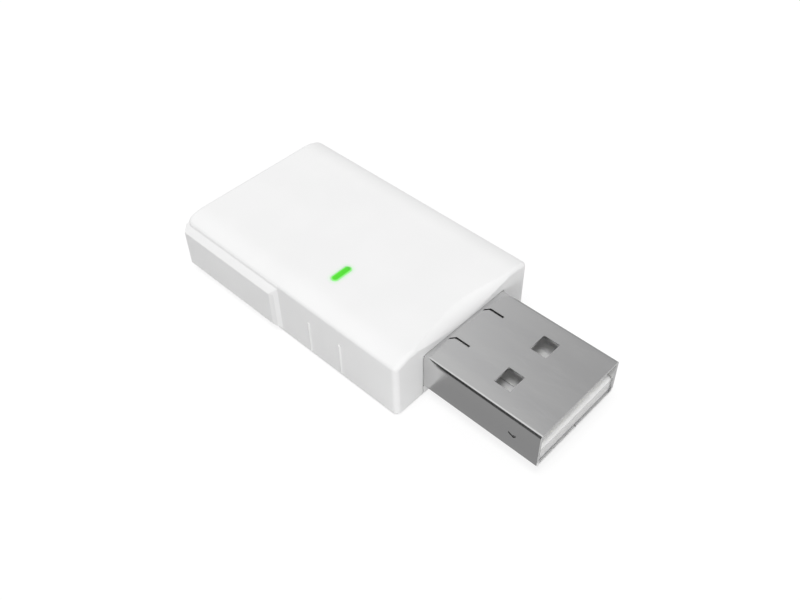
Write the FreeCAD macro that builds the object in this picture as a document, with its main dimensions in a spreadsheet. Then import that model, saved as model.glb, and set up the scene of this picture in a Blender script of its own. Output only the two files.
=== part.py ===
import FreeCAD, Part
import os
import re
import Sketcher

# A gateway dongle: a white moulded stick with a folded steel plug at its front end.
# +X points the way the plug goes in, +Z is up, and the origin is the middle of the flat underside.

doc = FreeCAD.newDocument("bluetooth_gateway_dongle")
sheet = doc.addObject("Spreadsheet::Sheet", "Sizes")

# Driving dimensions, in millimetres and degrees
sizes = {
    # outside of the housing
    "housing_length": 31.3,
    "housing_width": 19.5,
    "housing_height": 7.55,
    "crown_flat": 14.6,
    "crown_drop": 0.6,
    "rear_corner": 0.8,
    "front_corner": 0.6,
    "top_round": 0.45,
    "bottom_round": 0.45,
    "side_wall": 1.2,
    "end_wall": 1.2,
    "roof_wall": 1.1,
    # raised pad on the long side at -Y
    "pad_length": 14.85,
    "pad_low": 0.55,
    "pad_high": 6.45,
    "pad_raise": 0.5,
    "pad_bevel": 1.0,
    # two upright ribs in front of the pad
    "rib_front_setback": 7.6,
    "rib_spacing": 4.4,
    "rib_width": 0.4,
    "rib_raise": 0.16,
    "rib_low": 0.55,
    "rib_high": 4.75,
    # rounded lip of the top edge over the plug, swept along a wide arc that dips in the middle
    "scoop_width": 16.4,
    "scoop_depth": 0.66,
    "scoop_round": 1.65,
    "scoop_sweep": 24.0,
    # bottom cover
    "cover_plate": 1.0,
    "cover_gap": 0.1,
    "snap_length": 4.0,
    "snap_wall": 0.8,
    "snap_high": 4.6,
    "snap_hook": 0.35,
    "snap_hook_height": 1.0,
    "snap_slope": 0.28,
    "snap_front_setback": 8.1,
    "snap_rear_setback": 5.6,
    # light in the top
    "light_length": 2.6,
    "light_width": 0.9,
    "light_setback": 12.45,
    "light_side": 4.55,
    "light_gap": 0.03,
    "light_proud": 0.04,
    "light_edge": 0.1,
    "light_flange": 0.5,
    "light_flange_height": 0.6,
    "collar_wall": 0.6,
    "collar_drop": 1.3,
    # plug
    "plug_width": 12.0,
    "plug_height": 4.5,
    "plug_reach": 13.75,
    "plug_tail": 5.0,
    "plug_low": 1.45,
    "plug_sheet": 0.3,
    "plug_fold": 0.36,
    "plug_gap": 0.03,
    "seam_width": 0.12,
    "window_length": 1.85,
    "window_width": 2.2,
    "window_side": 2.69,
    "window_setback": 5.18,
    "slit_width": 0.26,
    "slit_length": 1.7,
    "slit_side": 2.57,
    "slit_shift": 0.4,
    "slit_start": 2.4,
    "slit_hook": 0.4,
    "slit_hook_side": 0.5,
    "nick_length": 0.8,
    "nick_height": 0.45,
    "nick_setback": 2.98,
    "nick_level": 2.4,
    "ear_length": 1.8,
    "ear_margin": 0.4,
    "ear_setback": 3.2,
    "leg_length": 1.0,
    "leg_drop": 0.2,
    "leg_gap": 0.1,
    # insulator and contacts inside the plug
    "insulator_gap": 0.03,
    "tongue_top": 2.15,
    "tongue_recess": 0.2,
    "tongue_lip": 0.25,
    "mouth_depth": 9.4,
    "contact_width": 1.0,
    "contact_sheet": 0.25,
    "contact_proud": 0.04,
    "contact_gap": 0.03,
    "outer_contact_side": 3.5,
    "inner_contact_side": 1.0,
    "outer_contact_setback": 1.4,
    "inner_contact_setback": 2.4,
    "contact_bend": 0.45,
    "contact_foot": 1.1,
    # main board and its supports
    "board_low": 2.0,
    "board_thick": 1.0,
    "board_side_gap": 0.15,
    "board_end_gap": 0.25,
    "board_corner_share": 0.35,
    "notch_gap": 0.12,
    "post_width": 1.6,
    "peg_width": 1.0,
    "peg_gap": 0.08,
    "post_rear_setback": 1.5,
    "post_front_setback": 8.4,
    "post_side_setback": 0.95,
    "hold_gap": 0.05,
    # radio module
    "module_length": 11.0,
    "module_width": 11.0,
    "module_thick": 0.8,
    "module_rear_setback": 0.6,
    "castellation_width": 0.6,
    "castellation_pitch": 1.4,
    "castellation_count": 7,
    "shield_length": 7.0,
    "shield_width": 9.6,
    "shield_height": 1.7,
    "shield_sheet": 0.2,
    "shield_fold": 0.4,
    "shield_front_setback": 0.6,
    "shield_hole": 0.8,
    "shield_hole_pitch": 1.6,
    "shield_hole_count": 4,
    # chips under the shield
    "radio_chip_size": 4.0,
    "radio_chip_height": 0.85,
    "radio_chip_front_gap": 0.5,
    "radio_chip_side": 1.6,
    "flash_length": 3.0,
    "flash_width": 2.0,
    "flash_height": 0.6,
    "flash_side": 3.2,
    "crystal_length": 1.6,
    "crystal_width": 1.6,
    "crystal_height": 0.5,
    "crystal_side": 0.6,
    "crystal_rear_gap": 0.3,
    "chip_bevel": 0.08,
    "dimple_width": 0.3,
    "dimple_inset": 0.45,
    "dimple_depth": 0.05,
    # antenna at the open end of the module
    "antenna_length": 7.0,
    "antenna_width": 1.6,
    "antenna_height": 0.8,
    "antenna_rear_setback": 0.5,
    "antenna_side": 1.6,
    "matching_front_gap": 0.45,
    "matching_side": 3.6,
    "matching_pitch": 1.2,
    # parts on the main board, those in front set back from the contact feet
    "regulator_length": 2.9,
    "regulator_width": 1.6,
    "regulator_height": 1.1,
    "regulator_setback": 2.85,
    "regulator_side": 3.3,
    "surge_length": 2.0,
    "surge_width": 1.25,
    "surge_height": 0.9,
    "surge_setback": 2.45,
    "leg_reach": 0.55,
    "leg_width": 0.4,
    "leg_sheet": 0.15,
    "leg_count": 3,
    "leg_pitch": 0.95,
    "small_leg_pitch": 0.65,
    "body_bevel": 0.12,
    "fuse_setback": 2.75,
    "fuse_side": 3.6,
    "fuse_length": 3.2,
    "fuse_width": 1.6,
    "fuse_height": 0.7,
    # and those behind set forward from the radio module
    "inductor_size": 3.0,
    "inductor_height": 1.5,
    "inductor_start": 0.45,
    "inductor_side": 3.9,
    "inductor_corner": 0.4,
    "inductor_well": 2.1,
    "inductor_well_depth": 0.15,
    "bulk_start": 0.45,
    "bulk_side": 0.6,
    "bulk_length": 3.2,
    "bulk_width": 1.6,
    "bulk_height": 1.6,
    "led_length": 1.6,
    "led_width": 0.8,
    "led_height": 0.6,
    "led_base": 0.2,
    "led_lens": 1.06,
    "led_bevel": 0.1,
    # small ceramic parts, in rows along Y
    "chip_length": 1.0,
    "chip_width": 0.5,
    "capacitor_height": 0.5,
    "resistor_height": 0.35,
    "end_cap_share": 0.2,
    "end_cap_lip": 0.02,
    "chip_pitch": 1.6,
    "front_row_setback": 0.8,
    "middle_row_setback": 4.0,
    "rear_row_start": 0.6,
    "inner_row_start": 2.7,
    # how far a cutting shape runs past what it cuts
    "overcut": 1.0,
}

# Small parts on the main board: the row along X, and how many pitches to the side
capacitor_places = [("rear_row", -1.7), ("rear_row", -2.7), ("middle_row", -0.6), ("inner_row", -0.4),
                    ("front_row", 3.3)]
resistor_places = [("inner_row", -1.4), ("front_row", -3.7), ("rear_row", -3.7), ("middle_row", 0.8)]

for row, (name, value) in enumerate(sizes.items(), start=1):
    sheet.set(f"A{row}", name)
    sheet.set(f"B{row}", str(value))
    sheet.setAlias(f"B{row}", name)

# Places that several pieces share, worked out from the driving dimensions
worked = {
    "front_face": "housing_length / 2",
    "rear_face": "-housing_length / 2",
    "side_face": "housing_width / 2",
    "inner_front": "front_face - end_wall",
    "inner_rear": "rear_face + end_wall",
    "inner_side": "side_face - side_wall",
    "roof": "housing_height - roof_wall",
    "rib_front": "front_face - rib_front_setback",
    "rib_rear": "rib_front - rib_spacing",
    "pad_front": "rear_face + pad_length",
    "pad_face": "-side_face - pad_raise",
    "plug_tip": "front_face + plug_reach",
    "plug_rear": "front_face - plug_tail",
    "plug_side": "plug_width / 2",
    "plug_high": "plug_low + plug_height",
    "plug_inner_side": "plug_side - plug_sheet",
    "plug_floor": "plug_low + plug_sheet",
    "plug_ceiling": "plug_high - plug_sheet",
    "mouth_end": "plug_tip - mouth_depth",
    "tongue_high": "plug_low + tongue_top",
    "contact_high": "tongue_high + contact_proud",
    "contact_low": "contact_high - contact_sheet",
    "contact_drop": "plug_rear - contact_bend",
    "contact_end": "contact_drop - contact_foot",
    "outer_contact_tip": "plug_tip - outer_contact_setback",
    "inner_contact_tip": "plug_tip - inner_contact_setback",
    "board_high": "board_low + board_thick",
    "board_front": "inner_front - board_end_gap",
    "board_rear": "inner_rear + board_end_gap",
    "board_side": "inner_side - cover_gap - snap_wall - board_side_gap",
    "mouth_side": "plug_side + plug_gap",
    "notch_side": "plug_side + notch_gap",
    "notch_rear": "plug_rear - notch_gap",
    "post_rear": "board_rear + post_rear_setback",
    "post_front": "board_front - post_front_setback",
    "post_side": "board_side - post_side_setback",
    "snap_outside": "inner_side - cover_gap",
    "snap_inside": "snap_outside - snap_wall",
    "snap_front": "front_face - snap_front_setback - snap_length / 2",
    "snap_rear": "rear_face + snap_rear_setback + snap_length / 2",
    "light_x": "front_face - light_setback",
    "collar_low": "roof - collar_drop",
    "module_rear": "board_rear + module_rear_setback",
    "module_front": "module_rear + module_length",
    "module_high": "board_high + module_thick",
    "shield_front": "module_front - shield_front_setback",
    "shield_rear": "shield_front - shield_length",
    "shield_high": "module_high + shield_height",
    "ear_x": "front_face - ear_setback",
    "ear_side": "board_side - ear_margin",
    "radio_chip_x": "shield_front - shield_sheet - radio_chip_front_gap - radio_chip_size / 2",
    "crystal_x": "shield_rear + shield_sheet + crystal_rear_gap + crystal_length / 2",
    "antenna_x": "module_rear + antenna_rear_setback + antenna_width / 2",
    "matching_x": "shield_rear - matching_front_gap - chip_width / 2",
    "regulator_x": "contact_end - regulator_setback",
    "surge_x": "contact_end - surge_setback",
    "fuse_x": "contact_end - fuse_setback",
    "inductor_x": "module_front + inductor_start + inductor_size / 2",
    "bulk_x": "module_front + bulk_start + bulk_width / 2",
    "front_row": "contact_end - front_row_setback",
    "middle_row": "contact_end - middle_row_setback",
    "rear_row": "module_front + rear_row_start",
    "inner_row": "module_front + inner_row_start",
}


def full(text):
    """Writes an expression out in terms of the sheet's cells."""
    def swap(match):
        word = match.group(0)
        if word in worked:
            return "(" + full(worked[word]) + ")"
        if word in sizes:
            return "Sizes." + word
        return word
    return re.sub(r"[a-z_]+", swap, str(text))


def size(text):
    """The value of an expression, for choosing edges and drawing first shapes."""
    return float(sheet.evalExpression(full(text)))


def bind(thing, field, text):
    thing.setExpression(field, full(text))


doc.recompute()


# Sketches and features

# two places this close count as one
hair = 0.01


def new_body(name):
    body = doc.addObject("PartDesign::Body", name)
    body.Label = name
    return body


def new_sketch(body, name, plane, level="0"):
    """A sketch on the body's own origin plane, moved to a level on the axis that the plane faces."""
    sketch = body.newObject("Sketcher::SketchObject", name)
    origin_plane = [f for f in body.Origin.OriginFeatures if f.Role == plane + "_Plane"][0]
    sketch.AttachmentSupport = [(origin_plane, "")]
    sketch.MapMode = "FlatFace"
    facing = -1 if plane == "XZ" else 1
    if level != "0":
        bind(sketch, "AttachmentOffset.Base.z", f"{facing} * ({level})")
    doc.recompute()
    return sketch


def fix_point(sketch, line, end, across, up):
    """Holds one end of a line at a place given by two expressions."""
    for kind, text, axis in (("DistanceX", across, -2), ("DistanceY", up, -1)):
        if text == "0":
            sketch.addConstraint(Sketcher.Constraint("PointOnObject", line, end, axis))
            continue
        index = sketch.addConstraint(Sketcher.Constraint(kind, -1, 1, line, end, size(text)))
        label = f"{kind.lower()}_{index}"
        sketch.renameConstraint(index, label)
        bind(sketch, "Constraints." + label, text)


def draw(sketch, points, arcs=None):
    """A closed outline through the points, with its arcs turning to the left.

    arcs maps a side's number to its middle point and either the side it is tangent to or its radius.
    """
    arcs = arcs or {}
    places = [FreeCAD.Vector(size(p[0]), size(p[1]), 0) for p in points]
    first = sketch.GeometryCount
    count = len(points)
    for i in range(count):
        start, end = places[i], places[(i + 1) % count]
        if i in arcs:
            middle = FreeCAD.Vector(size(arcs[i][0]), size(arcs[i][1]), 0)
            sketch.addGeometry(Part.Arc(start, middle, end))
        else:
            sketch.addGeometry(Part.LineSegment(start, end))
    ends = []
    for i in range(count):
        shape = sketch.Geometry[first + i]
        forward = i not in arcs or shape.StartPoint.distanceToPoint(places[i]) < hair
        ends.append((1, 2) if forward else (2, 1))
    for i in range(count):
        after = (i + 1) % count
        joint = (first + i, ends[i][1], first + after, ends[after][0])
        smooth = (i in arcs and arcs[i][2] == after) or (after in arcs and arcs[after][2] == i)
        sketch.addConstraint(Sketcher.Constraint("Tangent" if smooth else "Coincident", *joint))
        fix_point(sketch, first + i, ends[i][0], *points[i])
    for i, (_, _, held) in arcs.items():
        if isinstance(held, str):
            hold_size(sketch, "Radius", first + i, held)


def hold_size(sketch, kind, index, text):
    """Holds the radius or diameter of an arc or circle at an expression."""
    held = sketch.addConstraint(Sketcher.Constraint(kind, index, size(text)))
    sketch.renameConstraint(held, f"size_{held}")
    bind(sketch, f"Constraints.size_{held}", text)


def around(middle, length):
    """The two ends of a length laid evenly about its middle."""
    return f"{middle} - ({length}) / 2", f"{middle} + ({length}) / 2"


def rectangle(sketch, left, right, low, high):
    draw(sketch, [(left, low), (right, low), (right, high), (left, high)])


def pill(sketch, x, y, length, width):
    """A slot with round ends, long in Y."""
    side = f"({width}) / 2"
    reach = f"(({length}) - ({width})) / 2"
    left, right = f"{x} - {side}", f"{x} + {side}"
    low, high = f"{y} - {reach}", f"{y} + {reach}"
    draw(sketch, [(right, low), (right, high), (left, high), (left, low)],
         {1: (x, f"{y} + ({length}) / 2", 0), 3: (x, f"{y} - ({length}) / 2", 2)})


def circle(sketch, x, y, width):
    middle = FreeCAD.Vector(size(x), size(y), 0)
    index = sketch.addGeometry(Part.Circle(middle, FreeCAD.Vector(0, 0, 1), size(width) / 2))
    fix_point(sketch, index, 3, x, y)
    hold_size(sketch, "Diameter", index, width)


def pad(body, name, sketch, length, back=False):
    """Adds the sketch, pushed out by a length."""
    feature = body.newObject("PartDesign::Pad", name)
    feature.Profile = sketch
    bind(feature, "Length", length)
    feature.Reversed = back
    doc.recompute()
    return feature


def cut(body, name, sketch, length, back=False):
    """Cuts the sketch to a depth, against the way its plane faces unless back is set."""
    before = body.Shape.Volume
    feature = body.newObject("PartDesign::Pocket", name)
    feature.Profile = sketch
    bind(feature, "Length", length)
    feature.Reversed = back
    doc.recompute()
    check_cut(body, name, before)
    return feature


def check_cut(body, name, before):
    if body.Shape.Volume > before - hair ** 3:
        raise RuntimeError(f"{name} cuts nothing")


def repeat(body, name, feature, axis_name, pitch, count, back=False):
    """Repeats a feature along an axis of the body."""
    row = body.newObject("PartDesign::LinearPattern", name)
    row.Originals = [feature]
    axis = [f for f in body.Origin.OriginFeatures if f.Role == axis_name][0]
    row.Direction = (axis, [""])
    row.Reversed = back
    row.Mode = "Spacing"
    bind(row, "Offset", pitch)
    bind(row, "Occurrences", count)
    body.Tip = row
    doc.recompute()


def edges(shape, test):
    """Names of the edges whose box passes a test."""
    return [f"Edge{i}" for i, edge in enumerate(shape.Edges, start=1) if test(edge.BoundBox, edge)]


def round_edges(body, name, radius, test, kind="PartDesign::Fillet"):
    base = body.Tip
    chosen = edges(base.Shape, test)
    if not chosen:
        raise RuntimeError(f"{name} finds no edge")
    feature = body.newObject(kind, name)
    feature.Base = (base, chosen)
    bind(feature, "Radius" if kind.endswith("Fillet") else "Size", radius)
    doc.recompute()
    return feature


def near(a, b):
    return abs(a - b) < hair


def lying_at(level):
    """A test for edges whose lowest point is at a level."""
    return lambda box, edge: near(box.ZMin, size(level))


def upright(box):
    return near(box.XLength, 0) and near(box.YLength, 0)


# Upper housing: a deep tub with a crowned top, open below

def make_upper_housing():
    body = new_body("upper_housing")

    # the outline across the stick: flat in the middle of the top and curving down towards both long sides
    section = new_sketch(body, "housing_section", "YZ", "rear_face")
    shoulder = "housing_height - crown_drop"
    arch = "crown_flat / 4 + side_face / 2"
    arch_high = "housing_height - crown_drop / 4"
    draw(section,
         [("-side_face", "0"), ("side_face", "0"), ("side_face", shoulder),
          ("crown_flat / 2", "housing_height"), ("-crown_flat / 2", "housing_height"),
          ("-side_face", shoulder)],
         {2: (arch, arch_high, 3), 4: (f"-({arch})", arch_high, 3)})
    pad(body, "housing_block", section, "housing_length")
    for end in ("rear", "front"):
        round_edges(body, end + "_corners", end + "_corner",
                    lambda b, e: upright(b) and near(b.XMin, size(end + "_face")))
    round_edges(body, "bottom_edge", "bottom_round", lambda b, e: near(b.ZMax, 0))
    round_edges(body, "top_edge", "top_round",
                lambda b, e: b.ZMin > size(shoulder) - hair and on_rim(b))

    # the lip over the plug: a round edge turned about a far axis, so that it dips in the middle
    lip = new_sketch(body, "lip_profile", "XZ")
    dip = "scoop_depth / sqrt(2)"
    middle_x = f"front_face - {dip} - scoop_round / sqrt(2)"
    middle_z = f"housing_height - {dip} - scoop_round / sqrt(2)"
    draw(lip, [(f"{middle_x} + scoop_round", middle_z), (middle_x, f"{middle_z} + scoop_round"),
               (middle_x, "housing_height + overcut"), ("front_face + overcut", "housing_height + overcut"),
               ("front_face + overcut", middle_z)],
         {0: (f"front_face - {dip}", f"housing_height - {dip}", "scoop_round")})
    swing = "(((scoop_width / 2) ^ 2 + scoop_depth ^ 2) / (2 * scoop_depth) / sqrt(2))"
    axis_x = f"front_face - {dip} + {swing}"
    axis_z = f"housing_height - {dip} + {swing}"
    axis_start = (f"{axis_x} - overcut", f"{axis_z} + overcut")
    axis_end = (f"{axis_x} + overcut", f"{axis_z} - overcut")
    axis_points = [FreeCAD.Vector(size(x), size(z), 0) for x, z in (axis_start, axis_end)]
    axis = lip.addGeometry(Part.LineSegment(*axis_points), True)
    fix_point(lip, axis, 1, *axis_start)
    fix_point(lip, axis, 2, *axis_end)
    before = body.Shape.Volume
    scoop = body.newObject("PartDesign::Groove", "lip_scoop")
    scoop.Profile = lip
    scoop.ReferenceAxis = (lip, ["Axis0"])
    scoop.Midplane = True
    bind(scoop, "Angle", "scoop_sweep")
    doc.recompute()
    check_cut(body, "lip_scoop", before)

    # the raised pad: a bar with bevelled long edges, its front end bevelled too
    bar = new_sketch(body, "pad_section", "YZ", "rear_face")
    root = "-side_face + side_wall / 2"
    draw(bar, [(root, "pad_low"), (root, "pad_high"), ("-side_face", "pad_high"),
               ("pad_face", "pad_high - pad_bevel"), ("pad_face", "pad_low + pad_raise"),
               ("-side_face", "pad_low")])
    pad(body, "side_pad", bar, "pad_length")
    nose = new_sketch(body, "pad_nose_sketch", "XY", "pad_low")
    draw(nose, [("pad_front - pad_bevel", "pad_face"), ("pad_front", "-side_face"),
                ("pad_front + overcut", "-side_face"), ("pad_front + overcut", "pad_face - overcut"),
                ("pad_front - pad_bevel", "pad_face - overcut")])
    cut(body, "pad_nose", nose, "pad_high - pad_low", back=True)

    # the two upright ribs
    ribs = new_sketch(body, "rib_sketch", "XY", "rib_low")
    for x in ("rib_front", "rib_rear"):
        rear, front = around(x, "rib_width")
        draw(ribs, [(rear, "-side_face"), (x, "-side_face - rib_raise"), (front, "-side_face"),
                    (front, root), (rear, root)])
    pad(body, "side_ribs", ribs, "rib_high - rib_low")

    # the inside, the slot for the light and the mouth that the plug comes out of
    hollow = new_sketch(body, "hollow_sketch", "XY")
    rectangle(hollow, "inner_rear", "inner_front", "-inner_side", "inner_side")
    cut(body, "hollow", hollow, "roof", back=True)
    collar = new_sketch(body, "collar_sketch", "XY", "collar_low")
    pill(collar, "light_x", "-light_side", "light_length + 2 * collar_wall", "light_width + 2 * collar_wall")
    pad(body, "light_collar", collar, "collar_drop")
    slot = new_sketch(body, "light_slot_sketch", "XY", "collar_low")
    pill(slot, "light_x", "-light_side", "light_length + 2 * light_gap", "light_width + 2 * light_gap")
    cut(body, "light_slot", slot, "housing_height - collar_low + overcut", back=True)
    mouth = new_sketch(body, "plug_mouth_sketch", "YZ", "notch_rear")
    rectangle(mouth, "-mouth_side", "mouth_side", "-overcut", "plug_high + plug_gap")
    cut(body, "plug_mouth", mouth, "front_face - notch_rear + overcut", back=True)

    # posts that hold the board down, and pockets that the cover snaps into
    posts = new_sketch(body, "hold_down_sketch", "XY", "board_high + hold_gap")
    circle(posts, "post_rear", "-post_side", "post_width")
    circle(posts, "post_front", "post_side", "post_width")
    pad(body, "hold_down_posts", posts, "roof - board_high - hold_gap")
    latch = new_sketch(body, "snap_pocket_sketch", "XY", "snap_high - snap_hook_height - cover_gap")
    for x in ("snap_front", "snap_rear"):
        for low, high in (("-inner_side - snap_hook", "-inner_side + cover_gap"),
                          ("inner_side - cover_gap", "inner_side + snap_hook")):
            rectangle(latch, *around(x, "snap_length + 2 * cover_gap"), low, high)
    cut(body, "snap_pockets", latch, "snap_hook_height + 2 * cover_gap", back=True)
    return body


def on_rim(box):
    """True for an edge on the outer rim of the top, seen from above."""
    side = size("side_face")
    front, rear = size("front_face"), size("rear_face")
    across = min(abs(box.YMin), abs(box.YMax)) > side - max(size("front_corner"), size("rear_corner")) - hair
    along_front = box.XMin > front - size("front_corner") - hair
    along_rear = box.XMax < rear + size("rear_corner") + hair
    return across or along_front or along_rear


# Lower cover: an inset plate with snap walls, board posts and a sill under the plug

def make_lower_cover():
    body = new_body("lower_cover")
    plate = new_sketch(body, "plate_sketch", "XY")
    rectangle(plate, "inner_rear + cover_gap", "inner_front - cover_gap",
              "-inner_side + cover_gap", "inner_side - cover_gap")
    pad(body, "plate", plate, "cover_plate")
    sill = new_sketch(body, "sill_sketch", "XY")
    rectangle(sill, "inner_front - end_wall", "front_face",
              "-mouth_side + cover_gap", "mouth_side - cover_gap")
    pad(body, "sill", sill, "plug_low - plug_gap")
    round_edges(body, "sill_edge", "bottom_round",
                lambda b, e: near(b.XMin, size("front_face")) and near(b.ZMax, 0))
    walls = new_sketch(body, "snap_wall_sketch", "XY")
    hooks = new_sketch(body, "snap_hook_sketch", "XY", "snap_high - snap_hook_height")
    for x in ("snap_front", "snap_rear"):
        ends = around(x, "snap_length")
        rectangle(walls, *ends, "snap_inside", "snap_outside")
        rectangle(walls, *ends, "-snap_outside", "-snap_inside")
        rectangle(hooks, *ends, "snap_inside", "snap_outside + snap_hook")
        rectangle(hooks, *ends, "-snap_outside - snap_hook", "-snap_inside")
    pad(body, "snap_walls", walls, "snap_high")
    pad(body, "snap_hooks", hooks, "snap_hook_height")
    hook_face = size("snap_outside + snap_hook")
    round_edges(body, "hook_slopes", "snap_slope",
                lambda b, e: near(b.ZMin, size("snap_high")) and near(abs(b.YMin), hook_face)
                and near(abs(b.YMax), hook_face), "PartDesign::Chamfer")
    posts = new_sketch(body, "post_sketch", "XY")
    for x in ("post_rear", "post_front"):
        for y in ("-post_side", "post_side"):
            circle(posts, x, y, "post_width")
    pad(body, "posts", posts, "board_low")
    pegs = new_sketch(body, "peg_sketch", "XY")
    circle(pegs, "post_rear", "post_side", "peg_width")
    circle(pegs, "post_front", "-post_side", "peg_width")
    pad(body, "pegs", pegs, "board_high")
    return body


# Light pipe: a clear pill with a flange under the collar of the roof

def make_light_pipe():
    body = new_body("light_pipe")
    flange = new_sketch(body, "flange_sketch", "XY", "collar_low - light_flange_height")
    pill(flange, "light_x", "-light_side",
         "light_length + 2 * light_flange", "light_width + 2 * light_flange")
    pad(body, "flange", flange, "light_flange_height")
    stem = new_sketch(body, "stem_sketch", "XY", "collar_low")
    pill(stem, "light_x", "-light_side", "light_length", "light_width")
    pad(body, "stem", stem, "housing_height + light_proud - collar_low")
    round_edges(body, "lens_edge", "light_edge", lying_at("housing_height + light_proud"))
    return body


# Plug shell: one folded sheet, with its seam underneath

def make_plug_shell():
    body = new_body("usb_plug_shell")
    section = new_sketch(body, "shell_section", "YZ", "plug_rear")
    rectangle(section, "-plug_side", "plug_side", "plug_low", "plug_high")
    pad(body, "shell_block", section, "plug_tip - plug_rear")
    round_edges(body, "folds", "plug_fold", lambda b, e: b.XLength > size("plug_reach"))
    block = body.Tip
    ends = [f"Face{i}" for i, face in enumerate(block.Shape.Faces, start=1)
            if near(face.BoundBox.XLength, 0)]
    shell = body.newObject("PartDesign::Thickness", "sheet_walls")
    shell.Base = (block, ends)
    bind(shell, "Value", "plug_sheet")
    shell.Reversed = True
    doc.recompute()

    seam = new_sketch(body, "seam_sketch", "XY", "plug_low - overcut")
    rectangle(seam, "plug_rear - overcut", "plug_tip + overcut", *around("0", "seam_width"))
    cut(body, "seam", seam, "plug_height / 2 + overcut", back=True)

    windows = new_sketch(body, "window_sketch", "XY", "plug_low - overcut")
    for y in ("window_side", "-window_side"):
        rectangle(windows, "plug_tip - window_setback - window_length", "plug_tip - window_setback",
                  *around(y, "window_width"))
    cut(body, "windows", windows, "plug_height + 2 * overcut", back=True)

    # the J-shaped slits near the housing, both hooked the same way
    slits = new_sketch(body, "slit_sketch", "XY", "plug_ceiling")
    start = "front_face + slit_start"
    knee = f"{start} - slit_length"
    hook = f"{knee} - slit_hook"
    for y in ("slit_shift + slit_side", "slit_shift - slit_side"):
        near_edge, far_edge = around(y, "slit_width")
        draw(slits, [(start, near_edge), (start, far_edge), (knee, far_edge),
                     (hook, f"{far_edge} - slit_hook_side"), (hook, f"{near_edge} - slit_hook_side"),
                     (knee, near_edge)])
    cut(body, "slits", slits, "plug_sheet + overcut", back=True)

    # the small nick in the side wall at -Y
    nick = new_sketch(body, "nick_sketch", "XZ", "-plug_side - overcut")
    middle = "plug_tip - nick_setback"
    level = "plug_low + nick_level"
    rear, front = around(middle, "nick_length")
    draw(nick, [(rear, level), (middle, f"{level} - nick_height"), (front, level),
                (middle, f"{level} - nick_height / 2")])
    cut(body, "nick", nick, "plug_sheet + overcut")

    # ears folded out onto the board, each with a leg through it
    ears = new_sketch(body, "ear_sketch", "XY", "board_high")
    legs = new_sketch(body, "leg_sketch", "XY", "board_low - leg_drop")
    for side in (1, -1):
        inner = f"{side} * (plug_side - plug_sheet / 2)"
        outer = f"{side} * ear_side"
        leg_inner = f"{side} * (ear_side - plug_sheet)"
        rectangle(ears, *around("ear_x", "ear_length"), *sorted_pair(inner, outer))
        rectangle(legs, *around("ear_x", "leg_length"), *sorted_pair(leg_inner, outer))
    pad(body, "ears", ears, "plug_sheet")
    pad(body, "legs", legs, "board_high - board_low + leg_drop + plug_sheet / 2")
    return body


def sorted_pair(a, b):
    return (a, b) if size(a) < size(b) else (b, a)


# Insulator: a base that fills the rear of the shell and a tongue with four grooves

def make_plug_insulator():
    body = new_body("usb_plug_insulator")
    side = "plug_inner_side - insulator_gap"
    low = "plug_floor + insulator_gap"
    base = new_sketch(body, "base_section", "YZ", "plug_rear")
    rectangle(base, f"-({side})", side, low, "plug_ceiling - insulator_gap")
    pad(body, "base", base, "mouth_end - plug_rear")
    tongue = new_sketch(body, "tongue_section", "YZ", "plug_rear")
    rectangle(tongue, f"-({side})", side, low, "tongue_high")
    pad(body, "tongue", tongue, "plug_tip - tongue_recess - plug_rear")
    corners = (size(low), size("plug_ceiling - insulator_gap"))
    round_edges(body, "base_edges", "plug_fold - plug_sheet + insulator_gap",
                lambda b, e: b.XLength > b.YLength + b.ZLength and near(abs(b.YMin), size(side))
                and (near(b.ZMin, corners[0]) or near(b.ZMin, corners[1])))
    tongue_end = size("plug_tip - tongue_recess")
    round_edges(body, "tongue_lip", "tongue_lip",
                lambda b, e: near(b.XMin, tongue_end) and near(b.ZMin, size("tongue_high")),
                "PartDesign::Chamfer")
    for name, place, tip in (("outer", "outer_contact_side", "outer_contact_tip"),
                             ("inner", "inner_contact_side", "inner_contact_tip")):
        groove = new_sketch(body, f"{name}_groove_section", "YZ", "plug_rear - overcut")
        for y in (place, f"-{place}"):
            rectangle(groove, *around(y, "contact_width + 2 * contact_gap"),
                      "contact_low - contact_gap", "contact_high + contact_gap")
        cut(body, f"{name}_grooves", groove, f"{tip} + contact_gap - plug_rear + overcut", back=True)
    return body


# Contacts: bent strips that run from the tongue to feet on the board

def make_contact(name, place, tip):
    body = new_body(name)
    strip = new_sketch(body, name + "_profile", "XZ", f"{place} - contact_width / 2")
    thick = "contact_sheet"
    draw(strip, [(tip, "contact_low"), (tip, "contact_high"), ("contact_drop", "contact_high"),
                 ("contact_drop", f"board_high + {thick}"), ("contact_end", f"board_high + {thick}"),
                 ("contact_end", "board_high"), (f"contact_drop + {thick}", "board_high"),
                 (f"contact_drop + {thick}", "contact_low")])
    pad(body, name + "_strip", strip, "contact_width", back=True)
    return body


# Boards

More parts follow.
